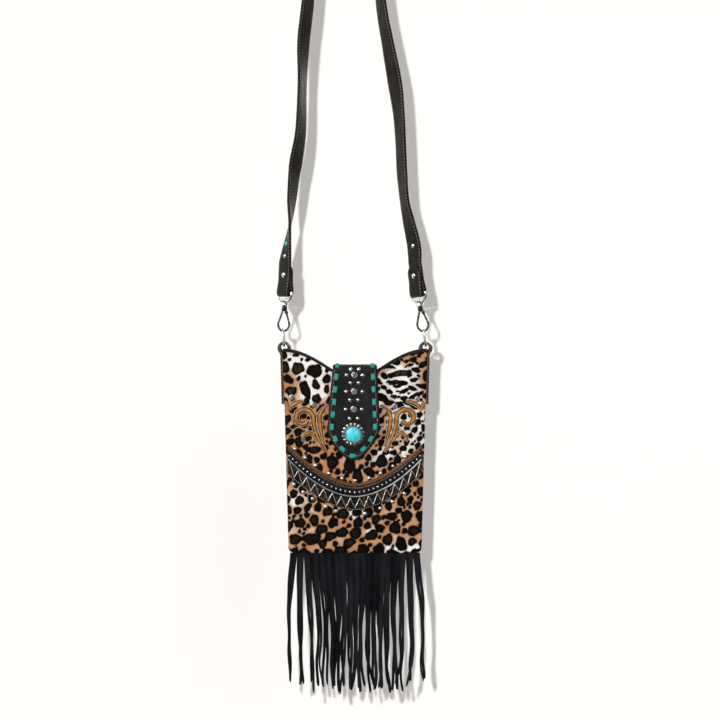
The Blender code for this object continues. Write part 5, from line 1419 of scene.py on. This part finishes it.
def strap_stations():
    """Places on the strap from one tongue to the other, each with its direction across and half width."""
    ends = []
    for (_, side, ring_lean, clip_lean), route in zip(SIDES, (LEFT_ROUTE, RIGHT_ROUTE)):
        fold = fold_frames(side, ring_lean, clip_lean)
        ends.append(fold[:-1] + run_frames(route, fold[-1][0], 4 * MM))
    radius = CROWN_RADIUS + STRAP_THICK / 2
    crown = []
    for k in range(1, 30):
        angle = pi * (1 - k / 30)
        point = Vector((radius * cos(angle), 0.0, CROWN_HEIGHT - CROWN_RADIUS + radius * sin(angle)))
        crown.append((point, width_direction(90), STRAP_WIDTH / 2))
    return ends[0] + crown + ends[1][::-1]


def strap_lies(stations):
    """Point, directions across and off the strap, and half width at each of its stations."""
    points = [station[0] for station in stations]
    lies = []
    for i, (point, width, half) in enumerate(stations):
        along = direction_at(points, i)
        across = (width - along * width.dot(along)).normalized()
        lies.append((point, across, along.cross(across).normalized(), half))
    return lies


# Half of the strap's section with its creased, rounded edges, in shares of its half width and half thickness
STRAP_EDGE = ((1.0, 0.35), (0.985, 0.72), (0.95, 0.94), (0.86, 0.88), (0.80, 0.98), (0.4, 1.0), (0.0, 1.0))


def make_strap():
    lies = strap_lies(strap_stations())
    form = Form()
    upper = list(STRAP_EDGE) + [(-a, b) for a, b in reversed(STRAP_EDGE[:-1])]
    section = upper + [(a, -b) for a, b in reversed(upper)]
    thick = STRAP_THICK / 2
    form.rings([[p + w * (a * half) + out * (b * thick) for a, b in section] for p, w, out, half in lies])
    form.object("strap_leather_run", (STRAP_LEATHER,), "strap", WORLD, ("strap",), 60)
    form = Form()
    wide = [lie for lie in lies if lie[3] > 8 * MM]
    for face in (1, -1):
        for edge in (1, -1):
            line = [p + w * (edge * (h - 1.25 * MM)) + o * (face * thick * 0.93) for p, w, o, h in wide]
            places = np.array([tuple(p) for p in line])

            def out_at(place):
                nearest = int(np.argmin(((places - np.array(tuple(place))) ** 2).sum(axis=1)))
                return wide[nearest][2] * face

            add_stitches(form, line, out_at, 2.1 * MM, 3.2 * MM, 0.28 * MM, sides=5)
    form.object("strap_stitches", (PALE_THREAD,), "strap")


def add_caps(node, material, middle, out, reach, profile):
    """The two domed caps of a rivet, one on each face of the strap."""
    form = Form()
    for way in (1, -1):
        add_turned(form, middle + out * (way * reach), out * way, profile, 20)
    form.object(node + "_caps", (material,), "strap", WORLD, (node,))


def make_rivets():
    lies = strap_lies(strap_stations())
    for name, side, ring_lean, clip_lean in SIDES:
        matrix = eye_matrix(side, ring_lean, clip_lean)
        point = matrix @ Vector((0.0, 0.0, EYE_HEIGHT + FOLD_RIVET_HEIGHT))
        out = (matrix.to_3x3() @ FRONT).normalized()
        profile = dome_profile(2.7 * MM, 1.2 * MM)
        add_caps(f"{name}_fold_rivet", NICKEL, point, out, STRAP_THICK + GAP / 2, profile)
    profile = dome_profile(2.05 * MM, 1.15 * MM)
    rivets = {"left_strap_rivet": NICKEL, "left_turquoise_rivet": STONE, "right_strap_rivet": NICKEL}
    for node, material in rivets.items():
        low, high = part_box(node)
        middle = (Vector(low) + Vector(high)) / 2 + Vector((0.0, 0.0, CROWN_HEIGHT))
        out = min(lies, key=lambda lie: (lie[0] - middle).length)[2]
        add_caps(node, material, middle, out, STRAP_THICK / 2, profile)


# Rings, side tabs and clips


# Degrees by which the loop of a tab goes past a half turn
TAB_SWEEP = 110


def make_tab(name, side):
    """The leather tab folded round its ring, with a crowned face, raw edges and two rows of stitches."""
    wall = LEATHER / 2 + GAP + TAB_THICK / 2
    drop = TAB_LOOP_RADIUS - TAB_THICK / 2 - RING_WIRE - GAP
    centre = ring_seat(side) - Vector((0.0, 0.0, drop))
    meet = BAG_HEIGHT - TAB_LOOP_RADIUS - TAB_THICK - centre.z
    line = [(wall, meet - TAB_OUTER_LENGTH * (1 - k / 12)) for k in range(13)]
    for k in range(31):
        angle = radians(-TAB_SWEEP / 2 + (180 + TAB_SWEEP) * k / 30)
        line.append((TAB_LOOP_RADIUS * cos(angle), TAB_LOOP_RADIUS * sin(angle)))
    line += [(-wall, meet - TAB_INNER_LENGTH * k / 6) for k in range(7)]
    slope = (TOP_HALF - BOTTOM_HALF) / BAG_HEIGHT
    points = [Vector((x + min(0.0, z) * slope, 0.0, z)) for x, z in line]
    form = Form()
    rows = []
    crown, core = 0.55, 0.11
    section = [(-1.0, -0.5), (-1.0, -core), (-1.0, core), (-1.0, 0.5)]
    section += [(y, 0.5 + crown * (1 - y * y)) for y in (-0.9, -0.7, -0.35, 0.0, 0.35, 0.7, 0.9)]
    section += [(1.0, 0.5), (1.0, core), (1.0, -core), (1.0, -0.5), (0.5, -0.5), (-0.5, -0.5)]
    for i, point in enumerate(points):
        along = direction_at(points, i)
        out = Vector((along.z, 0.0, -along.x))
        below = max(0.0, 1 - (point.z / TAB_LOOP_RADIUS + 0.2) / 0.9) if 12 < i < 44 else 0.0
        ring = []
        for y, off in section:
            p = point + out * (off * TAB_THICK - (min(1.4, below) * MM if off < -core else 0.0))
            ring.append(Vector((side * p.x, y * TAB_WIDTH / 2, p.z)))
        rows.append([form.point(p) for p in ring])
    count = len(section)
    cores = [abs(y) == 1.0 and abs(off) == core for y, off in section]
    raw = [j for j in range(count) if cores[j] and cores[(j + 1) % count]]
    for low, high in zip(rows, rows[1:]):
        for j in range(count):
            k = (j + 1) % count
            corners = (low[j], low[k], high[k], high[j])
            form.face(corners if side > 0 else corners[::-1], 1 if j in raw else 0)
    for row, way in ((rows[0], -1), (rows[-1], 1)):
        form.face(tuple(row) if side * way > 0 else tuple(reversed(row)))
    seat = WORLD @ Matrix.Translation(centre)
    node = f"{name}_side_tab"
    form.object(f"{name}_tab_leather", (TRIM_BLACK, RAW_EDGE), "bag", seat, (node,), 40)
    form = Form()
    for y in (-TAB_WIDTH / 2 + 1.5 * MM, TAB_WIDTH / 2 - 1.5 * MM):
        stitch = [Vector((side * (p.x + TAB_THICK * 0.72), y, p.z)) for p in points[:13]]
        add_stitches(form, stitch, Vector((float(side), 0.0, 0.0)), 2.4 * MM, 3.4 * MM, 0.5 * MM)
    form.object(f"{name}_tab_stitches", (BLACK_THREAD,), "bag", seat)


def make_ring(name, side, ring_lean):
    """A D-shaped ring: a half circle above, and a flat foot with rounded corners."""
    form = Form()
    crown = HOOK_WIRE + RING_WIRE + GAP - RING_HALF
    corner = 1.6 * MM
    foot = -RING_DROP + corner
    ring = [Vector((0.0, RING_HALF * c, crown + RING_HALF * s)) for c, s in arc(24, pi, True)]
    for side_y, first in ((-1, 180), (1, 270)):
        for k in range(7):
            angle = radians(first + 15 * k)
            y = side_y * (RING_HALF - corner) + corner * cos(angle)
            ring.append(Vector((0.0, y, foot + corner * sin(angle))))
    add_tube(form, ring, RING_WIRE, 14, closed=True)
    seat = WORLD @ Matrix.Translation(hook_seat(side, ring_lean))
    seat = seat @ Matrix.Rotation(radians(ring_lean), 4, "Y")
    form.object(f"{name}_ring_wire", (NICKEL,), "bag", seat, (f"{name}_ring",))


def make_hook(name, clip):
    """The hook with its barrel, post, head and cheeks, and its gate."""
    form = Form()
    head = BARREL_TOP + EYE_BOSS_HEIGHT + 2 * GAP
    foot_rings = ((0.6, 0.0), (0.92, 0.4), (1.0, 1.0))
    top_rings = ((1.0, 2.0), (0.86, 1.7), (0.86, 1.2), (1.0, 0.9), (1.0, 0.2), (0.9, 0.0))
    profile = [(BARREL_RADIUS * share, BARREL_BOTTOM + up * MM) for share, up in foot_rings]
    profile += [(BARREL_RADIUS * share, BARREL_TOP - down * MM) for share, down in top_rings]
    profile += [
        (POST_RADIUS, BARREL_TOP), (POST_RADIUS, head), (HEAD_RADIUS * 0.95, head),
        (HEAD_RADIUS, head + 0.3 * MM), (HEAD_RADIUS * 0.8, head + HEAD_HEIGHT * 0.75),
        (HEAD_RADIUS * 0.3, head + HEAD_HEIGHT),
    ]
    add_turned(form, Vector(), UP, profile, 24)
    arm_top = Vector((-BARREL_RADIUS * 0.45, 0.0, BARREL_BOTTOM + 1.4 * MM))
    belly = Vector((-HOOK_HALF, 0.0, HOOK_BELLY))
    wire = [arm_top.lerp(belly, k / 8) for k in range(8)]
    for k in range(33):
        angle = pi * (k / 32 - 0.5)
        wire.append(Vector((HOOK_HALF * sin(angle), 0.0, HOOK_BELLY * (1 - cos(angle)))))
    foot = Vector((HOOK_HALF, 0.0, HOOK_BELLY))
    up_gate = (GATE_PIVOT - foot).normalized()
    wire += [foot + up_gate * (NOSE_LENGTH * k / 3) for k in range(1, 4)]
    add_tube(form, wire, HOOK_WIRE, 14)
    cheek = [(r * MM * 0.87, h * MM) for r, h in ((2.0, 0.0), (2.0, 0.75), (1.7, 0.9))]
    for way in (-1, 1):
        middle = Vector((GATE_PIVOT.x, way * 1.3 * MM, GATE_PIVOT.z))
        add_turned(form, middle, Vector((0.0, float(way), 0.0)), cheek, 20)
    form.object(f"{name}_hook_body", (GUNMETAL,), f"{name}_hook", clip, (f"{name}_hook",), 50)
    form = Form()
    eye = Vector((0.0, 1.0 * MM, 0.0))
    add_tube(form, [GATE_PIVOT - eye, GATE_PIVOT + eye], 1.5 * MM, 18)
    foot_rel = foot - GATE_PIVOT
    tip = foot_rel - foot_rel.normalized() * (NOSE_LENGTH + 1.2 * GAP)
    bar = [GATE_PIVOT + tip * (0.12 + 0.88 * k / 8) for k in range(9)]
    add_tube(form, bar, GATE_WIRE, 14)
    form.object(f"{name}_gate_bar", (GUNMETAL,), f"{name}_gate", clip, (f"{name}_gate",), 50)


def make_eye(name, eye_place):
    """The silver eye: a boss that the post turns in, the wire that the strap is folded round, and its web."""
    form = Form()
    low = BARREL_TOP + GAP
    top = low + EYE_BOSS_HEIGHT
    boss = [
        (EYE_BOSS_RADIUS * 0.9, low), (EYE_BOSS_RADIUS, low + 0.3 * MM), (EYE_BOSS_RADIUS, top - 0.5 * MM),
        (EYE_BOSS_RADIUS * 0.85, top), (POST_RADIUS * 1.15, top), (POST_RADIUS * 1.15, low),
    ]
    add_turned(form, Vector(), UP, boss, 28)
    half = STRAP_WIDTH / 2 + EYE_WIRE + 2 * GAP
    middle = low + EYE_BOSS_HEIGHT / 2
    corners = [Vector((EYE_BOSS_RADIUS * 0.5, 0.0, middle))]
    for inward, down in ((0.6, 5.6), (0.0, 2.0), (0.4, 0.6), (1.4, 0.0)):
        corners.append(Vector((half - inward * MM, 0.0, EYE_HEIGHT - down * MM)))
    loop = corners + [Vector((-p.x, 0.0, p.z)) for p in reversed(corners)]
    loop.append(loop[0])
    add_tube(form, resample(loop, 0.9 * MM)[:-1], EYE_WIRE, 14, closed=True)
    web_top = EYE_HEIGHT - EYE_WIRE - STRAP_THICK - 3 * GAP
    window = HEAD_RADIUS + 2 * GAP
    sill = top + HEAD_HEIGHT + 3 * GAP

    def web_reach(z):
        t = (z - middle) / (web_top - middle)
        return EYE_BOSS_RADIUS * 0.8 + (half - 1.6 * MM - EYE_BOSS_RADIUS * 0.8) * t

    for levels, inner in (((middle, sill), window), ((sill, web_top), 0.0)):
        for way in (-1, 1):
            rings = []
            for k in range(5):
                z = levels[0] + (levels[1] - levels[0]) * k / 4
                a, b = inner, max(inner + 0.1 * MM, web_reach(z))
                bevel = b - 0.4 * MM
                section = [(a, -0.75), (bevel, -0.75), (b, -0.4), (b, 0.4), (bevel, 0.75), (a, 0.75)]
                ring = [Vector((way * x, y * MM, z)) for x, y in section]
                rings.append(ring if way > 0 else ring[::-1])
            form.rings(rings)
    form.object(f"{name}_eye_loop", (NICKEL,), "strap", eye_place, (f"{name}_eye",), 50)


# Build everything

make_hide("leopard_front", -1, scattered_spots(7, 1, BIG_MARKS), 1, ("front_panel",))
make_hide("leopard_back", 1, scattered_spots(23, -1), -1, ("back_panel",))
make_panel_studs()
make_band()
make_scrolls()
make_binding("front_bound_edge", -1, "front_binding")
make_binding("back_bound_edge", 1, "back_binding")
make_fringe()
make_flap_leather()
make_lace_piece()
make_flap_trim()
make_concho_piece()
make_strap()
make_rivets()
for side_name, *side_given in SIDES:
    make_tab(side_name, side_given[0])
    make_ring(side_name, *side_given[:2])
    make_hook(side_name, WORLD @ clip_matrix(*side_given))
    make_eye(side_name, WORLD @ eye_matrix(*side_given))

# Pieces of the source that stay as they are, in the scene's materials
KEPT = {
    "gusset": TRIM_BLACK, "lining": CLOTH, "snap_stud": NICKEL, "snap_socket": NICKEL,
    "left_gate_pin": GUNMETAL, "right_gate_pin": GUNMETAL,
}
for node_name, kept_material in KEPT.items():
    for slot_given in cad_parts[node_name].material_slots:
        slot_given.material = kept_material


# Stage, light and camera


FLOOR_Z = -1.42
WALL_Y = 330 * MM
STAGE_HALF = 9
WALL_TOP = 6
LAMP_SIZE = 1.2
WINDOW = Vector((-0.55, -0.65, 0.50))
# The photo is 720 pixels wide at 0.97 mm for each pixel, at the plane of the bag's front
PHOTO_WIDTH = 720 * 0.97 * MM
PHOTO_PLANE_Y = -12 * MM
CAMERA_AIM = (4.85 * MM, 187.2 * MM - CROWN_HEIGHT)


def linked(thing):
    bpy.context.scene.collection.objects.link(thing)
    return thing


def white_sheet(name, corners, albedo, glow, one_sided):
    """A warm white surface that only the camera sees. It takes shadows and casts none."""
    mesh = bpy.data.meshes.new(name)
    mesh.from_pydata(corners, [], [(0, 1, 2, 3)])
    material = bpy.data.materials.new(name + "_white")
    mesh.materials.append(material)
    n = Nodes(material)
    paint = n.node("ShaderNodeBsdfDiffuse", (albedo, albedo * 0.97, albedo * 0.93))
    lit = n.node("ShaderNodeAddShader", paint, n.node("ShaderNodeEmission", Strength=glow))
    shown = n.node("ShaderNodeLightPath").outputs["Is Camera Ray"]
    if one_sided:
        shown = n.node("ShaderNodeMath", shown, n.node("ShaderNodeNewGeometry").outputs["Backfacing"])
        shown.operation = "SUBTRACT"
        shown.use_clamp = True
    clear = n.node("ShaderNodeBsdfTransparent")
    n.node("ShaderNodeOutputMaterial", n.node("ShaderNodeMixShader", shown, clear, lit))
    sheet = linked(bpy.data.objects.new(name, mesh))


def make_stage():
    x, y, z = STAGE_HALF, WALL_Y, FLOOR_Z
    floor = [(-x, -x, z), (x, -x, z), (x, x, z), (-x, x, z)]
    wall = [(-x, y, z), (x, y, z), (x, y, WALL_TOP), (-x, y, WALL_TOP)]
    white_sheet("studio_floor", floor, albedo=0.75, glow=0.64, one_sided=False)
    white_sheet("studio_wall", wall, albedo=0.86, glow=0.0, one_sided=True)


def make_world():
    """Even light, white for the camera, and for gloss a room that is darker in front with one soft window."""
    world = bpy.data.worlds.new("studio")
    bpy.context.scene.world = world
    n = Nodes(world)
    white = (1.0, 1.0, 1.0)
    place = n.node("ShaderNodeTexCoord").outputs["Generated"]
    depth = n.span(n.node("ShaderNodeSeparateXYZ", place).outputs["Y"], -0.25, 0.2, 0.05, 1.0)
    facing = n.node("ShaderNodeVectorMath", place, WINDOW.normalized())
    facing.operation = "DOT_PRODUCT"
    window = n.span(facing.outputs["Value"], 0.80, 0.93, 0.0, 2.4)
    lit = n.node("ShaderNodeBackground", (0.97, 0.98, 1.0), 0.26)
    room = n.node("ShaderNodeBackground", white, n.math("ADD", depth, window))
    path = n.node("ShaderNodeLightPath").outputs
    shine = n.node("ShaderNodeMixShader", path["Is Glossy Ray"], lit, room)
    seen = n.math("MAXIMUM", path["Is Camera Ray"], path["Is Transmission Ray"])
    plain = n.node("ShaderNodeBackground", white)
    n.node("ShaderNodeOutputWorld", n.node("ShaderNodeMixShader", seen, shine, plain))


def add_light(name, kind, place, towards, colour, **settings):
    data = bpy.data.lights.new(name, kind)
    data.color = colour
    for key, value in settings.items():
        setattr(data, key, value)
    lamp = linked(bpy.data.objects.new(name, data))
    lamp.location = place
    lamp.rotation_mode = "QUATERNION"
    lamp.rotation_quaternion = Vector(towards).to_track_quat("-Z", "Y")


def add_area(name, place, target, watts, colour):
    towards = Vector(target) - Vector(place)
    add_light(name, "AREA", place, towards, colour, shape="DISK", size=LAMP_SIZE, energy=watts)


def add_front_lamp(strength, place, width):
    """A small lamp by the camera, as strong at any distance. It gives the bag its shadow and no gloss."""
    data = bpy.data.lights.new("front", "POINT")
    data.energy = 1.0
    data.shadow_soft_size = width / 2
    data.use_nodes = True
    tree = data.node_tree
    falloff = tree.nodes.new("ShaderNodeLightFalloff")
    falloff.inputs["Strength"].default_value = strength * 4 * pi
    tree.links.new(falloff.outputs["Constant"], tree.nodes["Emission"].inputs["Strength"])
    lamp = linked(bpy.data.objects.new("front", data))
    lamp.location = place
    lamp.visible_glossy = False


def make_camera():
    data = bpy.data.cameras.new("photo_camera")
    data.lens = 85
    data.sensor_width = 36
    data.clip_end = 60
    camera = linked(bpy.data.objects.new("photo_camera", data))
    distance = PHOTO_WIDTH * data.lens / data.sensor_width
    camera.location = (CAMERA_AIM[0], PHOTO_PLANE_Y - distance, CAMERA_AIM[1])
    camera.rotation_euler = (QUARTER, 0.0, 0.0)
    bpy.context.scene.camera = camera


make_stage()
make_world()
KEY = Vector((0.82, 0.44, -0.34))
add_light("key", "SUN", KEY * -2, KEY, (1.0, 0.99, 0.975), energy=1.6, angle=radians(9.0))
add_front_lamp(strength=2.15, place=(-0.060, -1.66, 0.25 - CROWN_HEIGHT), width=0.018)
add_area("fill", (0.9, -2.2, -0.2), (0.0, 0.0, -0.7), watts=7.0, colour=(0.97, 0.98, 1.0))
add_area("back", (0.9, 1.9, 0.4), (0.0, 0.0, -0.6), watts=26.0, colour=(1.0, 1.0, 1.0))
make_camera()
bpy.context.scene.view_settings.view_transform = "Standard"
